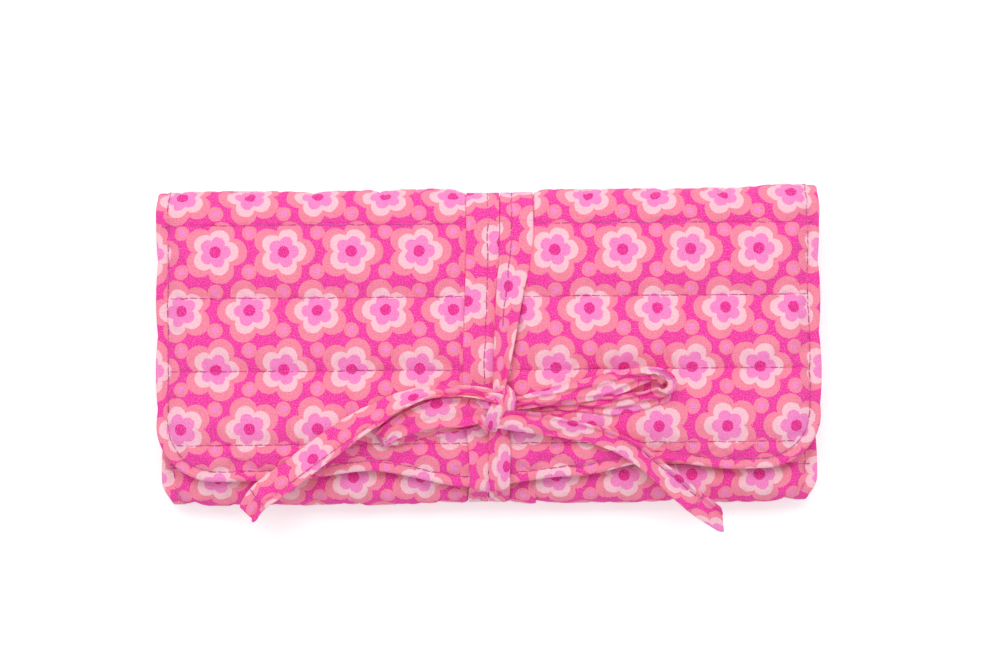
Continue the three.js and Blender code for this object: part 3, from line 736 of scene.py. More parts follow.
def pale_brass():
    """Tumbled pale brass with fine scratches and duller patches at random."""
    finish = Finish("pale_brass", 0.3, 0.5, Metallic=1.0)
    place = finish.object_place()
    worn = finish.noise(place, 0.9, 4.0, 0.6)
    scratch = finish.noise(finish.stretched(place, 0.4, 9.0, 3.0), 1.2, 2.0)
    finish.colour(finish.tinted(worn, 0.3, 0.7, 1.0, BRASS_DULL, BRASS_BRIGHT))
    finish.feed(finish.shader.inputs["Roughness"], finish.span(worn, 0.3, 0.7, 0.22, 0.4))
    finish.bump(scratch, 0.012, 0.5)
    return finish.material


def sewing_thread():
    """Orchid thread, twisted from two plies, with a soft shine, its tones darkened by painted seam
    shade and striped with painted shade along the twist.
    """
    finish = Finish("sewing_thread", 0.5, 0.4, Sheen_Weight=0.2)
    u, v, _ = finish.cloth_place()
    turn = finish.math("MULTIPLY", finish.math("MULTIPLY_ADD", v, THREAD_LAY, u), THREAD_TURNS)
    lay = finish.math("SINE", turn)
    grain = finish.noise(finish.object_place(), 0.35, 2.0)
    tone = finish.tinted(grain, 0.3, 0.7, 1.0, THREAD_DARK, THREAD_LIGHT)
    # Painted shade: stripes along the twist darken towards the ply shade tone
    finish.colour(finish.tinted(lay, -1.0, 1.0, 0.35, tone, THREAD_PLY_SHADE))
    finish.bump(lay, 0.05, 0.8)
    return finish.material


PRINT = printed_cotton()
LINING = lining_cotton()
TAPE = zip_tape_weave()
NYLON = nylon_coil()
BRASS = pale_brass()
STITCHING = sewing_thread()


# The folded sheet

def sheet_point(along, across, out):
    """Places on the folded sheet, from its flat measures and the distance out from its inner face."""
    along, across, out = np.broadcast_arrays(along, across, out)
    low_turn = math.pi / 2 + (along - bottom_start) / bottom_radius
    high_turn = (along - top_start) / top_radius - math.pi / 2
    low = bottom_radius - CROWN + out
    high = top_radius - CROWN + out
    part = [along < bottom_start, along < back_start, along <= top_start, along < flap_start]
    y = np.select(part, [
        bottom_y + bottom_start - along,
        bottom_y + low * np.cos(low_turn),
        bottom_y + along - back_start,
        top_y + high * np.cos(high_turn),
    ], top_y - (along - flap_start))
    z = np.select(part, [
        front_face + out,
        bottom_radius + low * np.sin(low_turn),
        back_face - out,
        top_radius + high * np.sin(high_turn),
    ], flap_face + out)
    return np.stack([across, y, z], -1)


def hem_line(x):
    share = np.asarray(x, float) / flap_half
    rise = np.full_like(share, HEM_WAVE[0][1])
    for (before, low), (after, high) in zip(HEM_WAVE, HEM_WAVE[1:]):
        rise = np.where(share > before, low + (high - low) * smoothstep(share, before, after), rise)
    return hem_y + rise


def fold_share(along, start, stop):
    return np.clip((along - start) / (stop - start), 0, 1)


def from_row(along):
    """Distance from the nearest quilting row, and half the distance between rows there."""
    pitch = np.where(along < first_row, hidden_pitch, QUILT_PITCH)
    row = (along - first_row) / pitch
    return np.abs(row - np.round(row)) * pitch, pitch / 2


def half_width(along):
    """Half the sheet's width: out at the top fold, in at the bottom one, drawn in between the rows."""
    top = fold_share(along, top_start, flap_start)
    bottom = fold_share(along, bottom_start, back_start)
    flare = TOP_FLARE * np.sin(math.pi * top) - BOTTOM_TUCK * np.sin(math.pi * bottom) ** 2
    away, half_pitch = from_row(along)
    return pouch_half + FLAP_OVERHANG * top + flare - SCALLOP * (away / half_pitch) ** 2


def tie_seat(along):
    """How far out the sheet stands under the tie."""
    turn = back_start - bottom_start
    marks = [bottom_start + share * turn for share in (0, TIE_SINK_SHARE, TIE_SINK_END)]
    marks += [back_start - TIE_SINK_RISE * turn, top_start, flap_start]
    seats = [CROWN, TIE_SEAT_BOTTOM, TIE_SEAT_BOTTOM, TIE_SEAT_BACK, TIE_SEAT_BACK, TIE_SEAT_FLAP]
    return np.interp(along, marks, seats)


def beside_tie(along, across):
    """Distance from the ground that the tie covers, negative under it."""
    knot_along = flap_start + top_y - knot_y
    marks = [back_start, top_start, flap_start, knot_along, flap_end]
    lefts = [TIE_LEFT, TIE_LEFT, TIE_LEFT, TIE_LEFT - TIE_DRIFT, TIE_LEFT]
    rights = [strand_right, second_right, second_right, KNOT_RIGHT, strand_right]
    left, right = (np.interp(along, marks, side) for side in (lefts, rights))
    return np.maximum(left - across, across - right) - TIE_ZONE_EDGE


pucker_ripple = waves(11, 4.5, 13.0, lean=0.5, count=16)
loft_ripple = waves(12, 18.0, 60.0)


def pad_height(along, across):
    """How far the cover stands out: puffed between the rows, puckered by them, low under the tie."""
    away, half_pitch = from_row(along)
    arch = 1 - (1 - away / half_pitch) ** ARCH_POWER
    height = VALLEY + (CROWN - VALLEY) * arch * (1 + LOFT_SPREAD * loft_ripple(across, along))
    height = height - ROW_CREASE * dent(away, ROW_CREASE_WIDTH)
    beside_row = np.exp(-away / PUCKER_REACH) * (1 - np.exp(-away / PUCKER_FROM_ROW))
    on_back = (along > back_start) & (along < top_start)
    flat_part = (along < bottom_start) | on_back | (along > flap_start)
    pucker = np.where(flat_part, PUCKER, PUCKER_ON_FOLD) * pucker_ripple(across, along)
    seat, beside = tie_seat(along), beside_tie(along, across)
    inlay = TIE_INLAY * smoothstep(beside, TIE_INLAY_FROM, TIE_INLAY_TO)
    slope = (over_crown - seat - TIE_INLAY) * smoothstep(beside, 0.0, TIE_RAMP)
    return soft_min(height + pucker * beside_row, seat + inlay + slope, TIE_BLEND)


def cover_height(along, across, edge):
    """The pad's height, brought down to the hem round its edge and dented by the hem's stitches."""
    rise = smoothstep(edge, HEM_WIDTH - HEM_RUN_IN, HEM_WIDTH + HEM_RISE)
    hem = HEM_THICKNESS + (over_crown - HEM_THICKNESS) * rise
    height = soft_min(pad_height(along, across), hem, HEM_BLEND)
    near_hem = dent(edge - HEM_PUCKER_AT, HEM_PUCKER_WIDTH)
    height = height + HEM_PUCKER * pucker_ripple(along, across) * near_hem
    return height - HEM_STITCH_DENT * dent(edge - HEM_STITCH, HEM_STITCH_WIDTH)


def simulated(name, top, held):
    """The cover after a short cloth simulation: slack, pressed out by wadding, held by its seams."""
    rows, columns = top.shape[:2]
    mesh = bpy.data.meshes.new(name)
    mesh.from_pydata((top.reshape(-1, 3) * SIMULATION_SCALE).tolist(), [], grid_faces(rows, columns))
    pad = bpy.data.objects.new(name, mesh)
    scene = bpy.context.scene
    scene.collection.objects.link(pad)
    pad.vertex_groups.new(name="seams").add(np.flatnonzero(held).tolist(), 1.0, "REPLACE")
    cloth = pad.modifiers.new("cloth", "CLOTH")
    for setting, value in CLOTH_SETTINGS.items():
        setattr(cloth.settings, setting, value)
    cloth.settings.effector_weights.gravity = 0
    cloth.point_cache.frame_end = SIMULATION_FRAMES
    for number in range(1, SIMULATION_FRAMES + 1):
        scene.frame_set(number)
    worn = pad.evaluated_get(bpy.context.evaluated_depsgraph_get()).data
    moved = np.array([v.co for v in worn.vertices]).reshape(top.shape) / SIMULATION_SCALE - top
    bpy.data.objects.remove(pad)
    scene.frame_set(1)
    size = np.linalg.norm(moved, axis=-1, keepdims=True)
    return top + moved * np.minimum(1, SWELL_CAP / np.maximum(size, SWELL_CAP))


def fold_bulge(fold, across):
    """How far a fold stands out: the top one at its right corner, the bottom one at a pleat."""
    if fold == top_fold:
        return CORNER_BULGE * smoothstep(across, CORNER_BULGE_FROM, CORNER_BULGE_TO)
    rise = PLEAT_RISE * smoothstep(across, strand_right + PLEAT_RUN, PLEAT_EDGE - PLEAT_RUN)
    return rise * (1 - smoothstep(across, PLEAT_EDGE - PLEAT_DROP, PLEAT_EDGE + PLEAT_DROP))


def quilted(name, along, across, edge, fold=None):
    """One stretch of the quilted sheet as a closed pad, its hem turned in round the lining."""
    height = cover_height(along, across, edge)
    middle = HEM_THICKNESS / 2
    full = np.sqrt(1 - (1 - np.clip(edge / EDGE_ROUND, 0, 1)) ** 2)
    lift = 0.0
    if fold:
        swell = pad_height(along, across) - height + fold_bulge(fold, across)
        lift = swell * np.sin(math.pi * fold_share(along, *fold))
    top = sheet_point(along, across, lift + middle + (height - middle) * full)
    by_row = from_row(along)[0] < HELD_BY_ROW
    held = by_row | (edge < HEM_STITCH) | (beside_tie(along, across) < HELD_BY_TIE)
    held[[0, -1]] = True
    top = simulated(name, top, held)
    top[..., 2] = np.maximum(top[..., 2], 0.0)
    inside_hem = smoothstep(edge, HEM_WIDTH, HEM_WIDTH + LINING_RUN)
    recess = (LINING_THICKNESS + LINING_CLEAR) * inside_hem
    bottom = sheet_point(along, across, lift + middle * (1 - full) + recess)
    flat = np.stack([across, along], -1)
    points, faces, flats, under = closed_layer(top, bottom, flat)
    lined = []
    if fold:
        inside = (edge[:-1, :-1] + edge[1:, :-1] + edge[:-1, 1:] + edge[1:, 1:]) / 4 > HEM_WIDTH
        lined = [face for face, shown in zip(under, inside.ravel()) if shown]
    return new_piece(name, points, faces, flats, PRINT, LINING, lined)


def quilting_rows(start, stop):
    numbers = range(-ROWS_HIDDEN, ROWS_ON_FLAP)
    rows = [first_row + k * (hidden_pitch if k < 0 else QUILT_PITCH) for k in numbers]
    return [row for row in rows if start <= row <= stop]


def strip_rows(start, stop, fine_start=False):
    """Stations along the sheet that take in each quilting row."""
    marks = [start, *quilting_rows(start + ROW_SPARE, stop - ROW_SPARE), stop]
    stations = []
    for a, b in zip(marks, marks[1:]):
        stations.append(spaced(a, b, CLOTH_STEP, fine_start and a == start, False)[:-1])
    return np.concatenate([*stations, [stop]])


def with_tie_edges(stations, right):
    """Stations across a fold, set close together beside the tie and at the pleat."""
    close = [TIE_LEFT - step for step in TIE_EDGE_STEPS] + [right + step for step in TIE_EDGE_STEPS]
    close += [PLEAT_EDGE - PLEAT_DROP, PLEAT_EDGE, PLEAT_EDGE + PLEAT_DROP]
    far = [x for x in stations if min(abs(x - c) for c in close) > TIE_EDGE_CLEAR]
    return np.sort(np.array(far + close))


def straight_panel(name, start, stop, free_start=False, fold=None):
    """A panel or fold whose sides are straight; free_start says that its first edge is a hem."""
    along = strip_rows(start, stop, free_start)
    stations = spaced(-pouch_half, pouch_half, CLOTH_STEP)
    if fold:
        stations = with_tie_edges(stations, second_right if fold == top_fold else strand_right)
    share = stations / pouch_half
    along, share = np.meshgrid(along, share, indexing="ij")
    half = half_width(along)
    edge = half * (1 - np.abs(share))
    if free_start:
        edge = np.minimum(edge, along - start)
    return quilted(name, along, share * half, edge, fold)


# The flap, whose hem waves and whose corners are round

def flap_outline(inset):
    """Left and right sides and wavy hem of the flap, drawn in by an inset, as points in plan."""
    half, corner = flap_half - inset, FLAP_CORNER - inset
    turn = half - corner
    left, right = hem_line(-turn) + inset + corner, hem_line(turn) + inset + corner
    arc = np.linspace(0, math.pi / 2, ARC_STATIONS)
    x = np.linspace(-turn, turn, HEM_STATIONS)
    return {
        "half": half, "corner": corner, "turn": turn, "left": float(left), "right": float(right),
        "left_arc": np.stack([-turn - corner * np.cos(arc), left - corner * np.sin(arc)], -1),
        "hem": np.stack([x, hem_line(x) + inset], -1),
        "right_arc": np.stack([turn + corner * np.sin(arc), right - corner * np.cos(arc)], -1),
    }


def flap_sides(line, y):
    """How far the flap reaches left and right at a height in plan."""
    drop = [min(max(line[side] - y, 0), line["corner"] - SPARE) for side in ("left", "right")]
    return [line["turn"] + math.sqrt(line["corner"] ** 2 - d * d) for d in drop]


def along_path(path, shares):
    reach = reach_along(path)
    at = np.asarray(shares) * reach[-1]
    return np.stack([np.interp(at, reach, path[:, 0]), np.interp(at, reach, path[:, 1])], -1)


def path_distance(x, y, path):
    """Distance of each place from the nearest point of a path in plan."""
    best = np.full(x.shape, np.inf)
    for (ax, ay), (bx, by) in zip(path, path[1:]):
        dx, dy = bx - ax, by - ay
        share = np.clip(((x - ax) * dx + (y - ay) * dy) / (dx * dx + dy * dy + 1e-12), 0, 1)
        best = np.minimum(best, np.hypot(x - ax - share * dx, y - ay - share * dy))
    return best


def flap_grid(inset, step):
    """A grid of places over the flap in plan, whose rows become the hem, and their edge distances."""
    line = flap_outline(inset)
    last_row = first_row + (ROWS_ON_FLAP - 1) * QUILT_PITCH
    upper = top_y - (strip_rows(flap_start, last_row) - flap_start)
    share = spaced(-line["half"], line["half"], step)
    share = (share + line["half"]) / (2 * line["half"])
    rows = []
    for y in upper:
        draw = flap_half - float(half_width(flap_start + top_y - y))
        left, right = flap_sides(line, y)
        x = -left + draw + share * (left + right - 2 * draw)
        rows.append(np.stack([x, np.full_like(share, y)], -1))
    start = rows[-1]
    left_arc = line["left_arc"][line["left_arc"][:, 1] < start[0, 1] - TINY]
    right_arc = line["right_arc"][line["right_arc"][:, 1] < start[-1, 1] - TINY][::-1]
    side_to = line["turn"] + SIDE_SHARE * line["corner"]
    left_side = np.vstack([start[0], left_arc[left_arc[:, 0] < -side_to]])
    right_side = np.vstack([start[-1], right_arc[right_arc[:, 0] > side_to]])
    foot = np.vstack([left_arc[left_arc[:, 0] >= left_side[-1, 0]], line["hem"][1:-1],
                      right_arc[right_arc[:, 0] <= right_side[-1, 0]][::-1]])
    low = along_path(foot, share)
    deep = abs(low[len(share) // 2, 1] - upper[-1])
    s = share[:, None]
    for t in spaced(0, deep, step, False, True)[1:] / deep:
        a, b = along_path(left_side, [t])[0], along_path(right_side, [t])[0]
        corners_above = (1 - s) * start[0] + s * start[-1]
        corners_below = (1 - s) * low[0] + s * low[-1]
        corners = (1 - t) * corners_above + t * corners_below
        rows.append((1 - t) * start + t * low + (1 - s) * a + s * b - corners)
    plan = np.array(rows)
    above = np.array([0, RIM_PAST_FOLD])
    rim = np.vstack([plan[0, 0] + above, plan[:, 0], plan[-1], plan[::-1, -1], plan[0, -1] + above])
    edge = path_distance(plan[..., 0], plan[..., 1], rim)
    edge[:, 0] = edge[:, -1] = edge[-1] = 0.0
    return plan, edge


def flap_panel(name):
    plan, edge = flap_grid(0.0, CLOTH_STEP)
    return quilted(name, flap_start + top_y - plan[..., 1], plan[..., 0], edge)


def bend_back_to(piece):
    """Bakes the placing of a piece that goes round a fold into its mesh, leaving it attached to no
    body.
    """
    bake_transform(piece)


flap_quilting = flap_panel("flap_quilting")
front_quilting = straight_panel("front_quilting", 0.0, bottom_start, free_start=True)
back_quilting = straight_panel("back_quilting", back_start, top_start)
bottom_quilting = straight_panel("bottom_fold_quilting", *bottom_fold, fold=bottom_fold)
top_quilting = straight_panel("top_fold_quilting", *top_fold, fold=top_fold)

for cover, panel in ((flap_quilting, "flap"), (front_quilting, "front"), (back_quilting, "back")):
    stand_in(cover, panel, panel + "_cover", panel + "_wadding")
bend_back_to(bottom_quilting)
bend_back_to(top_quilting)
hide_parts("bottom_fold")
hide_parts("top_fold")


# Stitches

def thread_stitch():
    """One stitch, modelled once: a short length of thread whose ends dive into the cloth."""
    radius = THREAD / 2 * MM
    along, high, size = STITCH_START
    place = Vector((along, 0, high * radius))
    bpy.ops.mesh.primitive_circle_add(vertices=STITCH_SIDES, radius=radius * size, fill_type="NGON",
                                      location=place, rotation=(0, math.pi / 2, 0))
    made = bpy.context.object
    bpy.ops.object.transform_apply(location=True, rotation=True, scale=True)
    bpy.ops.object.mode_set(mode="EDIT")
    bpy.ops.mesh.select_all(action="SELECT")
    for along, high, size in STITCH_RINGS:
        move = Vector((along, 0, high * radius)) - place
        bpy.ops.mesh.extrude_region_move(TRANSFORM_OT_translate={"value": move})
        place = place + move
        bpy.ops.transform.resize(value=(1, size, size), center_override=place)
    bpy.ops.mesh.select_all(action="SELECT")
    bpy.ops.mesh.normals_make_consistent(inside=False)
    bpy.ops.object.mode_set(mode="OBJECT")
    points = np.array([v.co for v in made.data.vertices])
    faces = sorted(tuple(p.vertices) for p in made.data.polygons)
    bpy.data.objects.remove(made)
    return points * np.array([1, 1 / MM, 1 / MM]), faces


STITCH_POINTS, STITCH_FACES = thread_stitch()


class Seam:
    """Gathers the stitches of one piece of sewing."""

    def __init__(self, seed):
        self.points, self.faces, self.flats, self.count = [], [], [], 0
        self.draw = random.Random(seed)

    def sew(self, line, normals, pitch=STITCH_PITCH):
        """Stitches along a line of places, standing on the cloth whose normals are given."""
        reach = reach_along(line)
        count = int(reach[-1] / pitch)
        margin = (reach[-1] - count * pitch) / 2

        def pick(at, rows):
            return np.array([np.interp(at, reach, rows[:, k]) for k in range(3)])

        sway = [self.draw.uniform(-STITCH_SWAY, STITCH_SWAY) for _ in range(count + 1)]
        for n in range(count):
            start = margin + pitch * (n + (1 - STITCH_FILL) / 2)
            first, last = pick(start, line), pick(start + pitch * STITCH_FILL, line)
            up = unit(pick(start + pitch * STITCH_FILL / 2, normals))
            side = unit(np.cross(up, last - first))
            first, last = first + sway[n] * side, last + sway[n + 1] * side
            middle = (first + last) / 2
            x, y, z = STITCH_POINTS.T[:, :, None]
            self.points.append(middle + x * (last - first) + y * side + z * up)
            flat = STITCH_POINTS[:, 0] * pitch, STITCH_POINTS[:, 1] * STITCH_TWIST
            self.flats.append(np.stack(flat, -1))
            self.faces += [tuple(i + self.count for i in f) for f in STITCH_FACES]
            self.count += len(STITCH_POINTS)

    def piece(self, name):
        points, flats = np.concatenate(self.points), np.concatenate(self.flats)
        made = new_piece(name, points, self.faces, flats, STITCHING)
        return made


def cover_line(tree, along, across):
    """A line on the cover's outer face, from its flat measures, with the cloth's normals."""
    reach = np.r_[0, np.cumsum(np.hypot(np.diff(along), np.diff(across)))]
    at = np.linspace(0, reach[-1], max(int(reach[-1] / SEWING_STEP), 2))
    along, across = np.interp(at, reach, along), np.interp(at, reach, across)
    outer, inner = (sheet_point(along, across, out) * MM for out in (clear_of_crown, 0.0))
    line, normals = [], []
    for start, stop in zip(outer, inner):
        place, normal = tree.ray_cast(Vector(start), Vector(stop - start))[:2]
        if place is not None:
            line.append(np.array(place) / MM)
            normals.append(np.array(normal))
    return np.array(line), np.array(normals)


def sew_row(seam, tree, row, left, right):
    """Stitches straight across a cover, at one distance along it."""
    seam.sew(*cover_line(tree, np.array([row, row]), np.array([left, right])))


def sew_panel(name, cover, start, stop, free_start=False):
    """Quilting rows across a straight panel, and topstitching down its sides and free edge."""
    tree, seam = tree_of(cover), Seam(name)
    for row in quilting_rows(start, stop):
        half = float(half_width(row)) - ROW_CLEAR
        sew_row(seam, tree, row, -half, half)
    begin = start + HEM_STITCH if free_start else start
    stations = np.linspace(begin, stop, SIDE_STATIONS)
    for side in (-1, 1):
        seam.sew(*cover_line(tree, stations, side * (half_width(stations) - SIDE_STITCH)))
    if free_start:
        half = pouch_half - SIDE_STITCH
        sew_row(seam, tree, begin, -half, half)
    return seam.piece(name)


def sew_flap(name):
    """Quilting rows across the flap, and topstitching down its sides and along its wavy hem."""
    tree, seam = tree_of(flap_quilting), Seam(name)
    for row in quilting_rows(flap_start, flap_end):
        line = flap_outline(ROW_CLEAR if row == first_row else SIDE_STITCH)
        left, right = flap_sides(line, top_y - (row - flap_start))
        sew_row(seam, tree, row, -left, right)
    line = flap_outline(HEM_STITCH)
    sides = np.array([[-line["half"], top_y], [line["half"], top_y]])
    rim = np.vstack([sides[0], line["left_arc"], line["hem"], line["right_arc"], sides[1]])
    drawn_in = (flap_half - SIDE_STITCH) / (flap_half - HEM_STITCH)
    seam.sew(*cover_line(tree, flap_start + top_y - rim[:, 1], rim[:, 0] * drawn_in))
    return seam.piece(name)


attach(sew_flap("flap_stitches"), "flap")
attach(sew_panel("front_stitches", front_quilting, 0.0, bottom_start, True), "front")
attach(sew_panel("back_stitches", back_quilting, back_start, top_start), "back")
bend_back_to(sew_panel("bottom_fold_stitches", bottom_quilting, *bottom_fold))
bend_back_to(sew_panel("top_fold_stitches", top_quilting, *top_fold))


# The tie: a folded strip of the print

STRIP_COLUMNS = np.array([-1, -0.985, -0.94, -0.87, -0.76, -0.62, -0.46, -0.3, -0.15])
STRIP_COLUMNS = np.r_[STRIP_COLUMNS, 0, -STRIP_COLUMNS[::-1]]
CLOTH_HALF = TIE_WIDTH / 2
FLAT_SEAM = 1 - TIE_SEAM / CLOTH_HALF
ACROSS = (1.0, 0.0, 0.0)


class Strip:
    """A soft flat strip along stops: place, direction across and width, and how its face is folded."""

    def __init__(self, name, stops, fold, shift, slant=0.0, blunt=0.0):
        run = smooth(stops, STRIP_STEP)
        place, across, width = run[:, :3], run[:, 3:6], run[:, 6:7]
        tangent = unit(np.gradient(place, axis=0))
        across = unit(across - tangent * np.sum(across * tangent, axis=1, keepdims=True))
        normal = np.cross(tangent, across)
        self.path, self.normal, self.reach = place, normal, reach_along(place)
        length = self.reach[-1]
        u = STRIP_COLUMNS[None, :]
        s = self.reach[:, None]
        rounded = np.clip((np.abs(u) - (1 - STRIP_ROUND)) / STRIP_ROUND, 0, 1)
        half = TIE_THICKNESS / 2 * np.sqrt(1 - rounded ** 2) * np.ones_like(s)
        rise = fold(u * np.ones_like(s), s, length)
        ahead = slant * u * smoothstep(s, length - TAIL_SLANT_RUN, length)
        width = width * (1 - blunt * np.clip(1 - (length - s) / TAIL_CORNER, 0, 1) ** 2)
        aside = across[:, None] * (u * width / 2)[..., None]
        middle = place[:, None] + aside + tangent[:, None] * ahead[..., None]
        self.top = middle + normal[:, None] * (rise + half)[..., None]
        bottom = middle + normal[:, None] * (rise - half)[..., None]
        flat = np.stack(np.broadcast_arrays(u * CLOTH_HALF + shift[0], s + shift[1]), -1)
        points, faces, flats, _ = closed_layer(self.top, bottom, flat)
        self.piece = new_piece(name, points, faces, flats, PRINT)

    def line(self, share, start=0.0, stop=1.0):
        """A line along the strip at a share of its half width, for stitches."""
        k = int(np.argmin(np.abs(STRIP_COLUMNS - share)))
        low, high = (int(round(t * (len(self.reach) - 1))) for t in (start, stop))
        return self.top[low:high + 1, k], self.normal[low:high + 1]

    def cross_line(self, share):
        """A line across the strip at a share of its length, and the pitch that fills it."""
        i = int(round(share * (len(self.reach) - 1)))
        line = self.top[i, 1:-1]
        pitch = reach_along(line)[-1] / (CROSS_STITCHES + SPARE)
        return line, np.repeat(self.normal[i:i + 1], len(line), axis=0), pitch


def layer_height(layer):
    return GAP + TIE_THICKNESS / 2 + (layer - 1) * (TIE_THICKNESS + GAP)


def tie_stop(along, middle, width, layer):
    return [*sheet_point(along, middle, tie_seat(along) + layer_height(layer)), *ACROSS, width]


def tie_run(start, stop, count, middle, width, layer):
    """Stops of a tie that lies on the sheet and leaves its ends squarely: pairs from start to end."""
    stops = []
    for share in np.linspace(0, 1, count + 1):
        eased = float(smoothstep(share, TIE_EASE, 1 - TIE_EASE))
        values = [pair[0] + (pair[1] - pair[0]) * eased for pair in (middle, width, layer)]
        stops.append(tie_stop(start + (stop - start) * share, *values))
    return stops


def seamed(share, seed, begin=0.0):
    """A flat strip's face, slightly uneven, with a seam's groove; begin is how far along it starts."""
    ripple = waves(seed, 9.0, 40.0)

    def fold(u, s, length):
        at = s + begin
        uneven = STRIP_UNEVEN * ripple(at, 3 * u)
        edge = uneven + STRIP_EDGE_WAVE * np.abs(u) ** 3 * ripple(at + 50, 0 * u)
        return edge - SEAM_GROOVE * dent((u - share) * CLOTH_HALF, SEAM_GROOVE_WIDTH)

    return fold


def gathered(seed, count, deep, start=1.0, stop=1.0):
    """A gathered strip's face: long pleats that wander and come and go."""
    ripple = waves(seed, 14.0, 50.0)

    def fold(u, s, length):
        turn = math.pi * count * u + GATHER_WANDER * ripple(s, 0 * u) + seed
        ridge = 2 * np.abs(np.sin(turn / 2)) ** GATHER_POWER - GATHER_SINK
        full = start + (stop - start) * s / length
        return deep * full * ridge + GATHER_RIPPLE * ripple(3 * s, 9 * u)

    return fold


hem_dip = float(min(hem_line(TIE_LEFT), hem_line(flat_middle), hem_line(second_left)))


def hem_turn(run):
    """Stops down over the flap's hem and in front of it, from the middle, width and layer of each."""
    stops = []
    for n, (middle, width, layer) in enumerate(run):
        lift = layer_height(layer)
        high = flap_face + float(tie_seat(flap_end)) + lift
        low = flap_face + HEM_THICKNESS + lift
        face = hem_dip - lift
        places = [
            (hem_dip + HEM_WIDTH + HEM_RISE, high),
            (hem_dip + HEM_WIDTH, (high + low) / 2),
            (hem_dip + TIE_TURN_RADIUS, low),
            ((hem_dip + face) / 2, low - TIE_TURN_RADIUS / 4),
            (face, low - TIE_TURN_RADIUS),
            (face, flap_face),
        ]
        stops.append([middle, *places[n], *ACROSS, width])
    return stops


def under_hem(run):
    """Stops from below the hem round the bottom fold, from each one's degrees, middle, width, layer."""
    _, middle, width, layer = run[0]
    stops = [[middle, hem_dip - layer_height(layer), flap_face - TIE_CUT, *ACROSS, width]]
    for degrees, middle, width, layer in run:
        turn = math.radians(degrees)
        along = bottom_start + (turn - math.pi / 2) * bottom_radius
        reach = bottom_radius - CROWN + float(tie_seat(along)) + layer_height(layer)
        place = bottom_y + reach * math.cos(turn), bottom_radius + reach * math.sin(turn)
        stops.append([middle, *place, *ACROSS, width])
    return stops


def strap_on_flap(run, further=()):
    """Stops down the flap, from y, middle, width and height over the flap's seat, and further ones."""
    seat = flap_face + TIE_SEAT_FLAP
    return [[x, y, seat + z, *ACROSS, width] for y, x, width, z in run] + list(further)


knot_foot = knot_y - KNOT_LENGTH / 2 - GAP
back_middle = (back_start + top_start) / 2
flat_face = seamed(FLAT_SEAM, 21)
one = layer_height(1)
two = layer_height(2)
flat_middles = (flat_middle, flat_middle)
full_width = (TIE_WIDTH, TIE_WIDTH)

# Where the print starts on the strips of the flat turn, the second turn and the gathered strand
FLAT_PRINT = 61.0
SECOND_PRINT = (12.0, 4.0)
STRAND_PRINT = (30.0, 3.0)

# How the flat turn drifts to the left down the flap, then narrows beside the gathered strand at the
# hem and round the bottom fold
FLAT_DRIFT = [
    (top_y - TIE_CUT, 0.0),
    (31.0, 0.1),
    (18.0, 0.5),
    (5.0, 1.0),
    (-8.0, 1.6),
    (-20.0, 1.4),
    (-29.0, 0.4),
]
FLAT_AT_HEM = [
    (-1.4, 10.8, 1),
    (-1.9, 9.8, 1),
    (-2.6, 8.4, 1),
    (-3.1, 7.4, 1),
    (-3.6, 6.6, 1),
    (-3.8, 6.4, 1),
]
FLAT_UNDER = [
    (170, -3.7, 6.6, 1),
    (180, -3.6, 6.4, 1),
    (190, -3.6, 6.4, 1),
    (205, -3.6, 6.4, 1.1),
    (225, -3.2, 7.1, 1.5),
    (247, -2.4, 9.0, 1.9),
    (270, -1.6, 11.2, 2),
]
STRAND_AT_HEM = [(strand_middle, TIE_GATHERED, layer) for layer in (2, 2, 1.9, 1.5, 1.1, 1.0)]
STRAND_UNDER = [(170 + 12.5 * n, strand_middle, TIE_GATHERED, 1) for n in range(9)]

# How the second turn leaves the first and narrows towards the knot: y, drift, width and height
SECOND_DRIFT = [
    (top_y - TIE_CUT, 0.2, TIE_WIDTH, one),
    (top_y - 1.5, 0.2, TIE_WIDTH, one),
    (36.0, 0.3, TIE_WIDTH, one + 0.1),
    (28.0, 1.0, 10.6, one + 0.4),
    (18.0, 2.5, 9.2, one + 0.85),
    (4.7, 4.1, 7.5, two + 0.1),
    (-8.7, 5.7, 5.4, two + 1.1),
    (-16.0, 6.6, 4.0, two + 2.6),
    (-19.0, 6.8, 3.6, two + 3.0),
]

top_flat = Strip("tie_top_flat_cloth", tie_run(
    top_start, flap_start - TIE_CUT, 16, flat_middles, full_width, (1, 1)
), flat_face, (FLAT_PRINT, 0.0))
top_second = Strip("tie_top_second_cloth", tie_run(
    top_start, flap_start - TIE_CUT, 16, (second_middle, second_middle - 0.2), full_width, (1.3, 1)
), seamed(-FLAT_SEAM, 22), SECOND_PRINT)
top_run = top_flat.reach[-1]
front_flat = Strip("tie_front_flat_cloth", strap_on_flap(
    [(y, flat_middle - drift, TIE_WIDTH, one) for y, drift in FLAT_DRIFT], hem_turn(FLAT_AT_HEM)
), seamed(FLAT_SEAM, 21, top_run), (FLAT_PRINT, top_run))
second_run = top_second.reach[-1]
second_face = seamed(-FLAT_SEAM, 22, second_run)
second_pleats = gathered(4, 1.6, 0.75)


def second_fold(u, s, length):
    """Flat at the top fold, then gathered towards the knot, its left edge rolled up."""
    share = smoothstep(s / length, *SECOND_GATHERS)
    rolled = SECOND_ROLL * smoothstep(-u, *SECOND_ROLL_EDGE)
    rolled = rolled * smoothstep(s / length, *SECOND_ROLL_START)
    pleat = second_pleats(u, s, length)
    return (1 - share) * second_face(u, s, length) + share * pleat + rolled


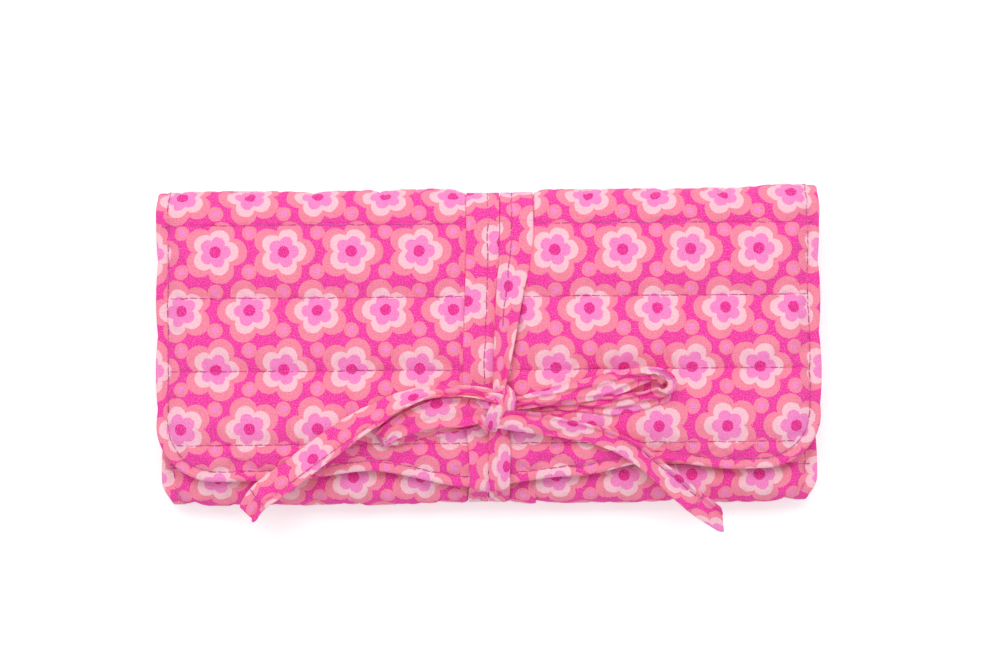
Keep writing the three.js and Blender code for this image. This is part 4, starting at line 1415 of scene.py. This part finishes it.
front_second = Strip("tie_front_second_cloth", strap_on_flap(
    [(y, second_middle - drift, width, z) for y, drift, width, z in SECOND_DRIFT]
), second_fold, (SECOND_PRINT[0], SECOND_PRINT[1] + second_run))
front_strand = Strip("tie_front_strand_cloth", strap_on_flap([
    (knot_foot + 4.0, strand_middle - 0.2, 5.4, two + 2.2),
    (knot_foot - 0.5, strand_middle - 0.2, 6.2, two + 0.9),
    (knot_foot - 2.4, strand_middle, 6.8, two + 0.2),
], hem_turn(STRAND_AT_HEM)[1:]), gathered(6, 2.6, 0.5, 1.0, 0.4), STRAND_PRINT)

flat_run = top_run + front_flat.reach[-1]
bottom_flat = Strip("tie_bottom_flat_cloth", under_hem(FLAT_UNDER),
                    seamed(FLAT_SEAM, 21, flat_run), (FLAT_PRINT, flat_run))
bottom_strand = Strip("tie_bottom_strand_cloth", under_hem(STRAND_UNDER), gathered(6, 2.6, 0.2),
                      (STRAND_PRINT[0], STRAND_PRINT[1] + front_strand.reach[-1]))
back_low, back_high = back_start + GAP / 2, top_start - GAP / 2
back_upper = Strip("tie_back_upper_cloth", tie_run(
    back_middle + GAP / 2, back_high, 6, flat_middles, full_width, (1, 1)
), flat_face, (FLAT_PRINT, -72.0))
back_lower = Strip("tie_back_lower_cloth", tie_run(
    back_low, back_middle - GAP / 2, 6, (strand_middle, flat_middle), (TIE_GATHERED, TIE_WIDTH), (1, 1)
), gathered(6, 2.6, 0.3, 1.0, 0.0), (STRAND_PRINT[0], 50.0))
back_cross = Strip("tie_back_cross_cloth", tie_run(
    back_low, back_high, 8, (flat_middle, second_middle), full_width, (2, 1.3)
), flat_face, (SECOND_PRINT[0], -83.0))

for strip in (front_flat, front_second, front_strand, top_flat, top_second, bottom_flat,
              bottom_strand, back_upper, back_lower, back_cross):
    node = strip.piece.name.removesuffix("_cloth")
    part = node.split("_")[1]
    if part in ("front", "back"):
        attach(strip.piece, "flap" if part == "front" else "back")
    else:
        bend_back_to(strip.piece)
    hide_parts(node)


def sew_strip(name, *lines):
    seam = Seam(name)
    for line in lines:
        seam.sew(*line)
    return seam.piece(name)


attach(sew_strip(
    "tie_front_stitches", front_flat.line(FLAT_SEAM, 0, 0.62), front_flat.line(FLAT_SEAM, 0.8, 0.92),
    front_second.line(-FLAT_SEAM, 0, 0.6)
), "flap")
bend_back_to(sew_strip(
    "tie_top_stitches", top_flat.line(FLAT_SEAM), top_second.line(-FLAT_SEAM)
))
bend_back_to(sew_strip("tie_bottom_stitches", bottom_flat.line(FLAT_SEAM)))
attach(sew_strip(
    "tie_back_stitches", back_upper.line(FLAT_SEAM), back_cross.line(FLAT_SEAM)
), "back")


# The bow. Each stop: across, along and up from the knot's middle, its direction across, and its width

def placed(stops):
    return [[KNOT_X + x, knot_y + y, knot_base + z, *rest] for x, y, z, *rest in stops]


def crumpled(seed, deep, pleats=1.4):
    """A tied strip's face: lengthwise creases with a few sharp dents across."""
    pleat = gathered(seed, pleats, deep)
    ripple = waves(seed + 40, 5.0, 16.0)

    def fold(u, s, length):
        crease = ripple(s, 6 * u)
        sharp = np.sign(crease) * np.abs(crease) ** CRUMPLE_POWER
        return pleat(u, s, length) + CRUMPLE_SHARE * deep * sharp

    return fold


LOOP_RIGHT = [
    [3.2, -0.6, 2.4, 0, 1, 0.2, 4.0],
    [8.0, 0.6, 1.6, 0, 0.95, 0.3, 5.0],
    [20.0, 1.9, 1.8, 0, 0.9, 0.43, 6.2],
    [33.7, 0.7, 2.1, 0, 0.88, 0.47, 6.8],
    [42.0, 1.3, 2.5, 0.1, 0.8, 0.6, 7.4],
    [50.0, 3.2, 3.0, 0.2, 0.74, 0.64, 7.8],
    [55.2, 5.2, 3.8, 0.34, 0.54, 0.77, 8.0],
    [56.0, 8.0, 4.6, 0.4, 0.4, 0.82, 7.8],
    [53.0, 10.2, 5.2, 0.25, 0.6, 0.76, 6.6],
    [47.5, 10.2, 5.5, 0, 0.82, 0.57, 5.6],
    [42.5, 8.9, 5.5, 0, 0.93, 0.36, 7.0],
    [37.0, 7.3, 5.3, 0, 0.95, 0.28, 8.2],
    [27.0, 5.2, 5.0, 0.05, 0.97, 0.2, 7.4],
    [15.0, 3.2, 4.5, 0.1, 0.98, 0.1, 5.8],
    [7.0, 1.6, 4.0, 0.1, 0.98, 0, 4.4],
    [2.6, 0.9, 3.8, 0, 1, 0, 3.8],
]
LOOP_LEFT = [
    [-2.6, -2.4, 1.8, 0, 1, 0, 4.6],
    [-8.0, -3.4, 1.0, 0, 1, 0, 5.8],
    [-17.0, -4.4, 0.9, 0, 1, 0.1, 6.8],
    [-27.0, -6.6, 1.0, 0, 1, 0.1, 6.6],
    [-34.5, -9.0, 1.4, -0.1, 0.95, 0.25, 6.2],
    [-38.4, -9.6, 2.6, -0.2, 0.8, 0.5, 6.0],
    [-36.5, -8.0, 3.6, -0.2, 0.9, 0.3, 6.4],
    [-29.0, -4.4, 3.8, -0.1, 0.98, 0.1, 7.8],
    [-20.0, -1.8, 3.9, 0, 1, 0, 9.6],
    [-11.0, -1.4, 4.0, 0, 1, 0, 9.4],
    [-5.0, -1.2, 4.2, 0, 1, 0, 6.6],
    [-2.4, -0.9, 4.0, 0, 1, 0, 5.0],
]
TAIL_LEFT = [
    [-1.5, 3.7, 5.8, 0, -1, 0, 4.4],
    [-6.0, 4.7, 6.0, 0, -1, 0.1, 4.4],
    [-14.0, 5.4, 6.0, 0, -0.95, 0.3, 4.6],
    [-22.5, 5.0, 5.9, 0.1, -0.9, 0.42, 5.4],
    [-31.5, 2.6, 5.9, 0.3, -0.85, 0.42, 7.0],
    [-40.0, -1.9, 5.5, 0.45, -0.8, 0.38, 8.8],
    [-48.5, -6.9, 4.4, 0.52, -0.8, 0.33, 9.8],
    [-57.0, -12.6, 3.0, 0.58, -0.78, 0.28, 10.0],
    [-65.5, -19.0, 2.2, 0.6, -0.76, 0.25, 10.0],
    [-74.4, -25.4, 1.2, 0.64, -0.74, 0.22, 9.8],
    [-79.4, -29.2, 0.5, 0.68, -0.71, 0.2, 9.0],
    [-81.7, -31.8, -0.2, 0.74, -0.66, 0.16, 8.4],
    [-83.3, -34.2, -1.1, 0.78, -0.62, 0.1, 8.2],
]
TAIL_RIGHT = [
    [-1.4, -4.4, 5.2, 0.1, 1, 0, 4.6],
    [3.5, -4.3, 5.6, 0.05, 1, 0, 6.4],
    [13.7, -5.5, 4.0, 0.1, 1, 0, 6.8],
    [22.0, -7.0, 2.5, 0.15, 0.98, 0.1, 6.4],
    [30.3, -8.8, 1.6, 0.3, 0.94, 0.12, 6.2],
    [43.7, -14.3, 1.3, 0.48, 0.86, 0.14, 6.6],
    [53.7, -22.2, 1.0, 0.6, 0.78, 0.16, 7.0],
    [65.0, -31.9, -0.2, 0.62, 0.77, 0.14, 7.9],
    [73.6, -37.9, -2.2, 0.6, 0.78, 0.1, 7.2],
]


def rimmed(seed, high):
    """A tail's face: a thick rolled rim along one edge, a groove beside it, and a few soft dents."""
    ripple = waves(seed, 8.0, 30.0)
    pleat = gathered(seed, 1.2, 0.7)

    def fold(u, s, length):
        groove = RIM_GROOVE * dent(u - RIM_GROOVE_AT, RIM_GROOVE_WIDTH)
        rim = high * (smoothstep(u, RIM_START, RIM_END) - groove)
        tight = 1 - smoothstep(s, TAIL_TIGHT_TO, TAIL_LOOSE_FROM)
        wavy = TAIL_DENTS * ripple(s, 4 * u) + TAIL_EDGE_WAVE * np.abs(u) ** 2 * ripple(2 * s, 0 * u)
        end = TAIL_HEM * smoothstep(s, length - TAIL_HEM_FROM, length - TAIL_HEM_TO)
        return rim + tight * pleat(u, s, length) + (1 - tight) * wavy + end

    return fold


# Each strip of the bow: its stops, its face, where the print starts, and a tail's slant and blunting
BOW = (
    ("bow_loop_right", LOOP_RIGHT, crumpled(3, 0.75, 2.4), (5.0, 0.0)),
    ("bow_loop_left", LOOP_LEFT, crumpled(8, 0.6, 1.8), (41.0, 60.0)),
    ("bow_tail_left", TAIL_LEFT, rimmed(5, 1.4), (22.0, 90.0), 0.5, 0.15),
    ("bow_tail_right", TAIL_RIGHT, rimmed(9, 1.0), (75.0, 33.0), -2.4, 0.25),
)
bow = {node: Strip(node + "_cloth", placed(stops), *rest) for node, stops, *rest in BOW}
for node, strip in bow.items():
    stand_in(strip.piece, "flap", node)

# The seam across each tail's end, and the one beside its rim, by shares of its length and half width
tail_left, tail_right = bow["bow_tail_left"], bow["bow_tail_right"]
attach(sew_strip(
    "bow_stitches", tail_left.cross_line(0.935), tail_left.line(0.5, 0.42, 0.93),
    tail_right.cross_line(0.87), tail_right.line(0.46, 0.5, 0.87)
), "flap")


# The knot: a tight lump of cloth with bands drawn over it

def lump(name, size, place, seed):
    """A creased round lump, half sunk in what it lies on."""
    turns = np.linspace(0, 2 * math.pi, LUMP_STATIONS[0])
    rises = np.linspace(-math.pi / 2, math.pi / 2, LUMP_STATIONS[1])
    turn, rise = np.meshgrid(turns, rises, indexing="ij")
    flow = np.stack([np.cos(turn) * np.cos(rise), np.sin(turn) * np.cos(rise), np.sin(rise)], -1)
    crease = 1 + LUMP_CREASE * np.sin(7 * turn + 3 * rise + seed) * np.cos(rise)
    points = (np.array(place) + flow * np.array(size) * crease[..., None]).reshape(-1, 3)
    flat = np.stack([turn * size[0], rise * size[1]], -1).reshape(-1, 2)
    return new_piece(name, points, grid_faces(len(turns), len(rises)), flat, PRINT)


KNOT_BAND = [
    [3.4, 6.0, 3.2, -0.9, 0.4, 0, 4.0],
    [2.2, 4.0, 5.4, -0.9, 0.4, 0, 5.0],
    [0.2, 1.0, 6.7, -0.9, 0.42, 0, 5.2],
    [-1.8, -2.8, 6.5, -0.94, 0.35, 0, 5.0],
    [-2.8, -6.0, 5.0, -0.96, 0.25, 0, 4.6],
    [-3.1, -7.4, 2.8, -0.97, 0.2, 0, 4.2],
]
KNOT_LOBE_RIGHT = [
    [2.4, 6.9, 3.0, -1, 0, 0.2, 2.0],
    [3.0, 5.0, 5.6, -1, 0, 0.2, 3.6],
    [3.5, 2.0, 6.9, -1, 0.1, 0.25, 4.4],
    [3.6, -0.6, 6.4, -1, 0.1, 0.3, 4.0],
    [3.0, -2.2, 4.6, -1, 0.1, 0.3, 3.0],
]
KNOT_LOBE_LEFT = [
    [-8.6, 2.6, 2.8, 0, -1, 0, 4.4],
    [-5.5, 2.4, 5.0, 0, -1, 0, 5.4],
    [-2.0, 2.2, 6.4, 0, -1, 0, 5.6],
    [1.4, 2.0, 6.2, 0, -1, 0, 4.6],
    [3.0, 1.8, 4.6, 0, -1, 0, 4.0],
]
KNOT_TUCK = [
    [-6.6, -2.2, 3.0, -0.8, -0.5, 0.2, 2.6],
    [-5.4, -4.2, 5.0, -0.8, -0.5, 0.2, 3.4],
    [-4.2, -6.4, 4.6, -0.85, -0.4, 0.2, 3.2],
    [-3.4, -7.8, 2.6, -0.9, -0.3, 0.2, 2.4],
]
KNOT_BANDS = (
    ("bow_knot_lobe_left", KNOT_LOBE_LEFT, gathered(12, 1.8, 0.4), (9.0, 12.0)),
    ("bow_knot_band", KNOT_BAND, gathered(13, 1.4, 0.35), (33.0, 5.0)),
    ("bow_knot_lobe_right", KNOT_LOBE_RIGHT, gathered(14, 1.0, 0.4), (50.0, 70.0)),
    ("bow_knot_tuck", KNOT_TUCK, gathered(15, 1.0, 0.4), (18.0, 20.0)),
)
knot = [lump("bow_knot_core", (4.8, 6.2, 3.0), (KNOT_X, knot_y, knot_base + 2.9), 1.0)]
knot += [Strip(name, placed(stops), *rest).piece for name, stops, *rest in KNOT_BANDS]
for piece in knot:
    stand_in(piece, "flap", "bow_knot")


# The inside: linings and pockets

COTTON = (LINING, "lining", "_cloth")
BINDING = (PRINT, "print_cotton", "_cloth")
WEAVE = (TAPE, "zip_tape", "_weave")
UP, DOWN = 1, -1


def lying(node, body, grid, face, out, thickness, cloth=COTTON, ripple=0.0, seed=31):
    """A flat cloth in place of a node, over a grid in plan; out is the way its shown face looks."""
    plan, edge = grid
    material, slot, ending = cloth
    shape = waves(seed, 16.0, 70.0)
    wave = ripple * np.abs(shape(plan[..., 0], plan[..., 1])) * smoothstep(edge, 0.0, LINING_WAVE_RUN)
    turned_in = thickness / 2 * (1 - np.sqrt(1 - (1 - np.clip(edge / CLOTH_ROUND, 0, 1)) ** 2))
    shown = face - out * (turned_in + wave)
    hidden = face - out * (thickness - turned_in)
    high, low = (shown, hidden) if out == UP else (hidden, shown)
    top, bottom = (np.concatenate([plan, z[..., None]], -1) for z in (high, low))
    points, faces, flats, _ = closed_layer(top, bottom, plan)
    piece = new_piece(node + ending, points, faces, flats, material)
    stand_in(piece, body, node)
    return piece


def oblong(left, right, low, high, step=LINING_STEP):
    """A grid of places in plan over an oblong, and their distances from its edge."""
    y, x = np.meshgrid(spaced(low, high, step)[::-1], spaced(left, right, step), indexing="ij")
    edge = np.minimum(np.minimum(x - left, right - x), np.minimum(y - low, high - y))
    return np.stack([x, y], -1), np.maximum(edge, 0.0)


lining_inset = HEM_WIDTH + GAP
lining_half = pouch_half - lining_inset
front_high = bottom_y + FRONT_LENGTH - lining_inset
back_cloth = lying("back_lining", "back", oblong(-lining_half, lining_half, bottom_y, top_y),
                   back_face, UP, LINING_THICKNESS)
front_cloth = lying("front_lining", "front", oblong(-lining_half, lining_half, bottom_y, front_high),
                    front_face, DOWN, LINING_THICKNESS)
flap_lining = flap_grid(lining_inset, LINING_STEP)
flap_cloth = lying("flap_lining", "flap", flap_lining, flap_face, DOWN, LINING_THICKNESS)

# The zip pocket on the back's lining

zip_y = top_y - ZIP_FROM_FOLD
zip_half = pouch_half - ZIP_INSET
pocket_half = pouch_half - POCKET_INSET
pocket_low, pocket_high = bottom_y + POCKET_MARGIN, top_y - POCKET_MARGIN
slot_low, slot_high = zip_y - ZIP_SLOT / 2, zip_y + ZIP_SLOT / 2
pocket_face = back_face + POCKET_THICKNESS
pocket_cloth = POCKET_THICKNESS - POCKET_CLEAR
pocket_lower = lying("pocket_lower", "back", oblong(-pocket_half, pocket_half, pocket_low, slot_low),
                     pocket_face, UP, pocket_cloth, ripple=0.5, seed=32)
lying("pocket_upper", "back", oblong(-pocket_half, pocket_half, slot_high, pocket_high),
      pocket_face, UP, pocket_cloth, ripple=0.4, seed=33)


def zip_coil(node, y, shift):
    """A nylon coil, modelled as one slanting turn and repeated along the zip."""
    start = COIL_PITCH / 2 + shift - zip_half
    bpy.ops.mesh.primitive_torus_add(
        location=(start * MM, y * MM, coil_height * MM), rotation=(0, math.pi / 2, COIL_SLANT),
        major_segments=10, minor_segments=4,
        major_radius=(COIL_SIZE / 2 - COIL_WIRE) * MM, minor_radius=COIL_WIRE * MM)
    coil = bpy.context.object
    coil.name = node + "_turns"
    bpy.ops.object.transform_apply(location=True, rotation=True, scale=True)
    turns = coil.modifiers.new("turns", "ARRAY")
    turns.use_relative_offset = False
    turns.use_constant_offset = True
    turns.constant_offset_displace = (COIL_PITCH * MM, 0, 0)
    turns.count = int(2 * zip_half / COIL_PITCH) - 1
    bpy.ops.object.modifier_apply(modifier="turns")
    bpy.ops.object.shade_smooth()
    coil.data.materials.append(NYLON)
    stand_in(coil, "back", node)


coil_height = back_face + TAPE_HEIGHT
tape_face = coil_height + TAPE_THICKNESS / 2
tape_near, tape_far = COIL_SPLIT / 2 + COIL_SIZE + GAP / 2, ZIP_SLOT / 2 - GAP
for side, sign in (("lower", -1), ("upper", 1)):
    low, high = sorted((zip_y + sign * tape_near, zip_y + sign * tape_far))
    lying("zip_tape_" + side, "back", oblong(-zip_half, zip_half, low, high, TAPE_STEP),
          tape_face, UP, TAPE_THICKNESS, WEAVE)
    coil_y = zip_y + sign * (COIL_SPLIT + COIL_SIZE) / 2
    zip_coil("zip_coil_" + side, coil_y, sign * COIL_PITCH / 4)
tab_start = zip_half + ZIP_STOP_LENGTH + 2 * GAP
for side, left, right in (("left", -pocket_half, -tab_start), ("right", tab_start, pocket_half)):
    tab = oblong(left, right, slot_low + GAP, slot_high - GAP, NARROW_STEP)
    lying("zip_end_tab_" + side, "back", tab, pocket_face, UP, pocket_cloth, ripple=0.3, seed=34)


def cast_metal(node, body, bevel, dished=False):
    """A copy of a metal part with its corners rounded, and its upper face dished if asked for."""
    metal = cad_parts[node].copy()
    metal.data = metal.data.copy()
    metal.name = node + "_brass"
    bpy.context.scene.collection.objects.link(metal)
    bpy.ops.object.select_all(action="DESELECT")
    metal.select_set(True)
    bpy.context.view_layer.objects.active = metal
    bpy.ops.object.mode_set(mode="EDIT")
    bpy.ops.mesh.select_all(action="SELECT")
    bpy.ops.mesh.remove_doubles(threshold=METAL_WELD)
    bpy.ops.mesh.dissolve_limited(angle_limit=math.radians(METAL_FLAT))
    bpy.ops.mesh.normals_make_consistent(inside=False)
    bpy.ops.mesh.select_all(action="DESELECT")
    bpy.ops.object.mode_set(mode="OBJECT")
    if dished:
        for face in metal.data.polygons:
            face.select = face.normal.z > 0.9
        bpy.ops.object.mode_set(mode="EDIT")
        bpy.ops.mesh.inset(thickness=STOP_RIM * MM, depth=-STOP_DISH * MM)
        bpy.ops.object.mode_set(mode="OBJECT")
    rounding = metal.modifiers.new("rounding", "BEVEL")
    rounding.width = bevel * MM
    rounding.segments = METAL_ROUND_STEPS
    rounding.limit_method = "ANGLE"
    bpy.ops.object.modifier_apply(modifier="rounding")
    bpy.ops.object.shade_smooth_by_angle(angle=math.radians(METAL_SHARP))
    metal.data.materials.clear()
    metal.data.materials.append(BRASS)
    stand_in(metal, body, node)


cast_metal("zip_stop_left", "back", 0.25, dished=True)
cast_metal("zip_stop_right", "back", 0.25, dished=True)
cast_metal("zip_slider", "zip_slider", 0.14)
cast_metal("zip_pull", "zip_pull", 0.16)

# The slip pocket on the flap's lining

slip_half = flap_half - SLIP_INSET - HEM_WIDTH
slip_low = hem_y + SLIP_FROM_HEM
slip_high = slip_low + SLIP_HEIGHT
slip_face = flap_face - GAP - SLIP_THICKNESS
slip = lying("slip_pocket", "flap", oblong(-slip_half, slip_half, slip_low, slip_high),
             slip_face, DOWN, SLIP_THICKNESS, ripple=0.3, seed=35)
binding_low, binding_high = slip_high + GAP / 2, slip_high + GAP / 2 + SLIP_BINDING
binding = oblong(-slip_half, slip_half, binding_low, binding_high, NARROW_STEP)
lying("slip_pocket_binding", "flap", binding, slip_face, DOWN, SLIP_THICKNESS, BINDING,
      ripple=0.15, seed=36)


def sew_flat(name, paths, height, up):
    """Stitches along lines in plan on a level face that looks up or down."""
    seam = Seam(name)
    for path in paths:
        line = np.array([[x, y, height] for x, y in path], float)
        for a, b in zip(line, line[1:]):
            seam.sew(np.array([a, b]), np.array([[0.0, 0.0, up]] * 2))
    return seam.piece(name)


edge_x, edge_y = pocket_half - POCKET_STITCH, POCKET_STITCH
lower_low, lower_high = pocket_low + edge_y, slot_low - edge_y
upper_low, upper_high = slot_high + edge_y, pocket_high - edge_y
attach(sew_flat("pocket_stitches", [
    [(-edge_x, lower_high), (-edge_x, lower_low), (edge_x, lower_low), (edge_x, lower_high),
     (-edge_x, lower_high)],
    [(-edge_x, upper_low), (edge_x, upper_low), (edge_x, upper_high), (-edge_x, upper_high),
     (-edge_x, upper_low)],
], pocket_face - STITCH_SINK, UP), "back")
slip_x, slip_foot = slip_half - POCKET_STITCH, slip_low + edge_y
binding_seam = binding_low + BINDING_STITCH
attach(sew_flat("slip_pocket_stitches", [
    [(-slip_x, slip_high), (-slip_x, slip_foot), (slip_x, slip_foot), (slip_x, slip_high)],
    [(-slip_half, binding_seam), (slip_half, binding_seam)],
], slip_face + STITCH_SINK, DOWN), "flap")

# The bar of thread that holds the tie to the back, sewn to and fro

tack_left = TIE_LEFT + BARTACK_FROM_EDGE
tack_y = float(sheet_point(back_middle, 0.0, 0.0)[1])
tack_face = back_face - TIE_SEAT_BACK - GAP - TIE_THICKNESS
bartack = Seam("tie_bartack")
for n in range(BARTACK_ROWS):
    y = tack_y + BARTACK_LENGTH * ((n + 0.5) / BARTACK_ROWS - 0.5)
    begin = [tack_left, y, tack_face]
    end = [tack_left + BARTACK_WIDTH, y + BARTACK_SLANT, tack_face]
    bartack.sew(np.array([begin, end]), np.array([[0.0, 0.0, DOWN]] * 2), BARTACK_WIDTH)
stand_in(bartack.piece("tie_bartack_thread"), "back", "tie_bartack")


# Stage, light and camera

FLOOR_SIZE = 6
FLOOR_DROP = 0.0002
FLOOR_TONE = 245
FLOOR_GLOW = 0.31
ROOM_LIGHT = 0.738
LAMP_PLACE = (-0.05, 0.55, 1.1)
LAMP_SIZE = (1.0, 0.6)
LAMP_POWER = 6.6
CAMERA_LENS = 85
CAMERA_NEAR = 0.01
CAMERA_DISTANCE = 0.779
CAMERA_ELEVATION = 86.0
CAMERA_ROLL = -0.45
CAMERA_TARGET = (0.0022, 0.0047, 0.020)
WHITE = (1, 1, 1, 1)


def white_floor():
    """A white table top that glows a little for the camera, and lights nothing by it."""
    finish = Finish("white_floor", 0.9)
    finish.colour(paint(FLOOR_TONE, FLOOR_TONE, FLOOR_TONE))
    finish.shader.inputs["Emission Color"].default_value = WHITE
    sight = finish.node("LightPath")
    seen = finish.math("MAXIMUM", sight.outputs["Is Camera Ray"], sight.outputs["Is Glossy Ray"])
    seen = finish.math("MAXIMUM", seen, sight.outputs["Is Transmission Ray"])
    finish.feed(finish.shader.inputs["Emission Strength"], finish.math("MULTIPLY", seen, FLOOR_GLOW))
    return finish.material


def add_stage():
    bpy.ops.mesh.primitive_plane_add(size=FLOOR_SIZE, location=(0, 0, -FLOOR_DROP))
    floor = bpy.context.object
    floor.name = "floor"
    floor.data.materials.append(white_floor())


def add_light():
    """Even light from all round, and a wide soft lamp behind and above the pouch."""
    world = bpy.data.worlds.new("room")
    world.use_nodes = True
    world.node_tree.nodes["Background"].inputs["Color"].default_value = WHITE
    world.node_tree.nodes["Background"].inputs["Strength"].default_value = ROOM_LIGHT
    bpy.context.scene.world = world
    lamp = bpy.data.lights.new("overhead", "AREA")
    lamp.shape = "RECTANGLE"
    lamp.size, lamp.size_y = LAMP_SIZE
    lamp.energy = LAMP_POWER
    holder = bpy.data.objects.new("overhead", lamp)
    bpy.context.scene.collection.objects.link(holder)
    holder.location = LAMP_PLACE
    holder.rotation_euler = (-Vector(LAMP_PLACE)).to_track_quat("-Z", "Y").to_euler()


def add_camera():
    lens = bpy.data.cameras.new("camera")
    lens.lens = CAMERA_LENS
    lens.clip_start = CAMERA_NEAR
    camera = bpy.data.objects.new("camera", lens)
    bpy.context.scene.collection.objects.link(camera)
    rise = math.radians(CAMERA_ELEVATION)
    tilt = Matrix.Rotation(math.pi / 2 - rise, 3, "X")
    roll = Matrix.Rotation(math.radians(CAMERA_ROLL), 3, "Z")
    away = Vector((0, -math.cos(rise), math.sin(rise)))
    camera.location = Vector(CAMERA_TARGET) + CAMERA_DISTANCE * away
    camera.rotation_euler = (tilt @ roll).to_euler()
    bpy.context.scene.camera = camera


add_stage()
add_light()
add_camera()
bpy.context.scene.view_settings.view_transform = "Standard"
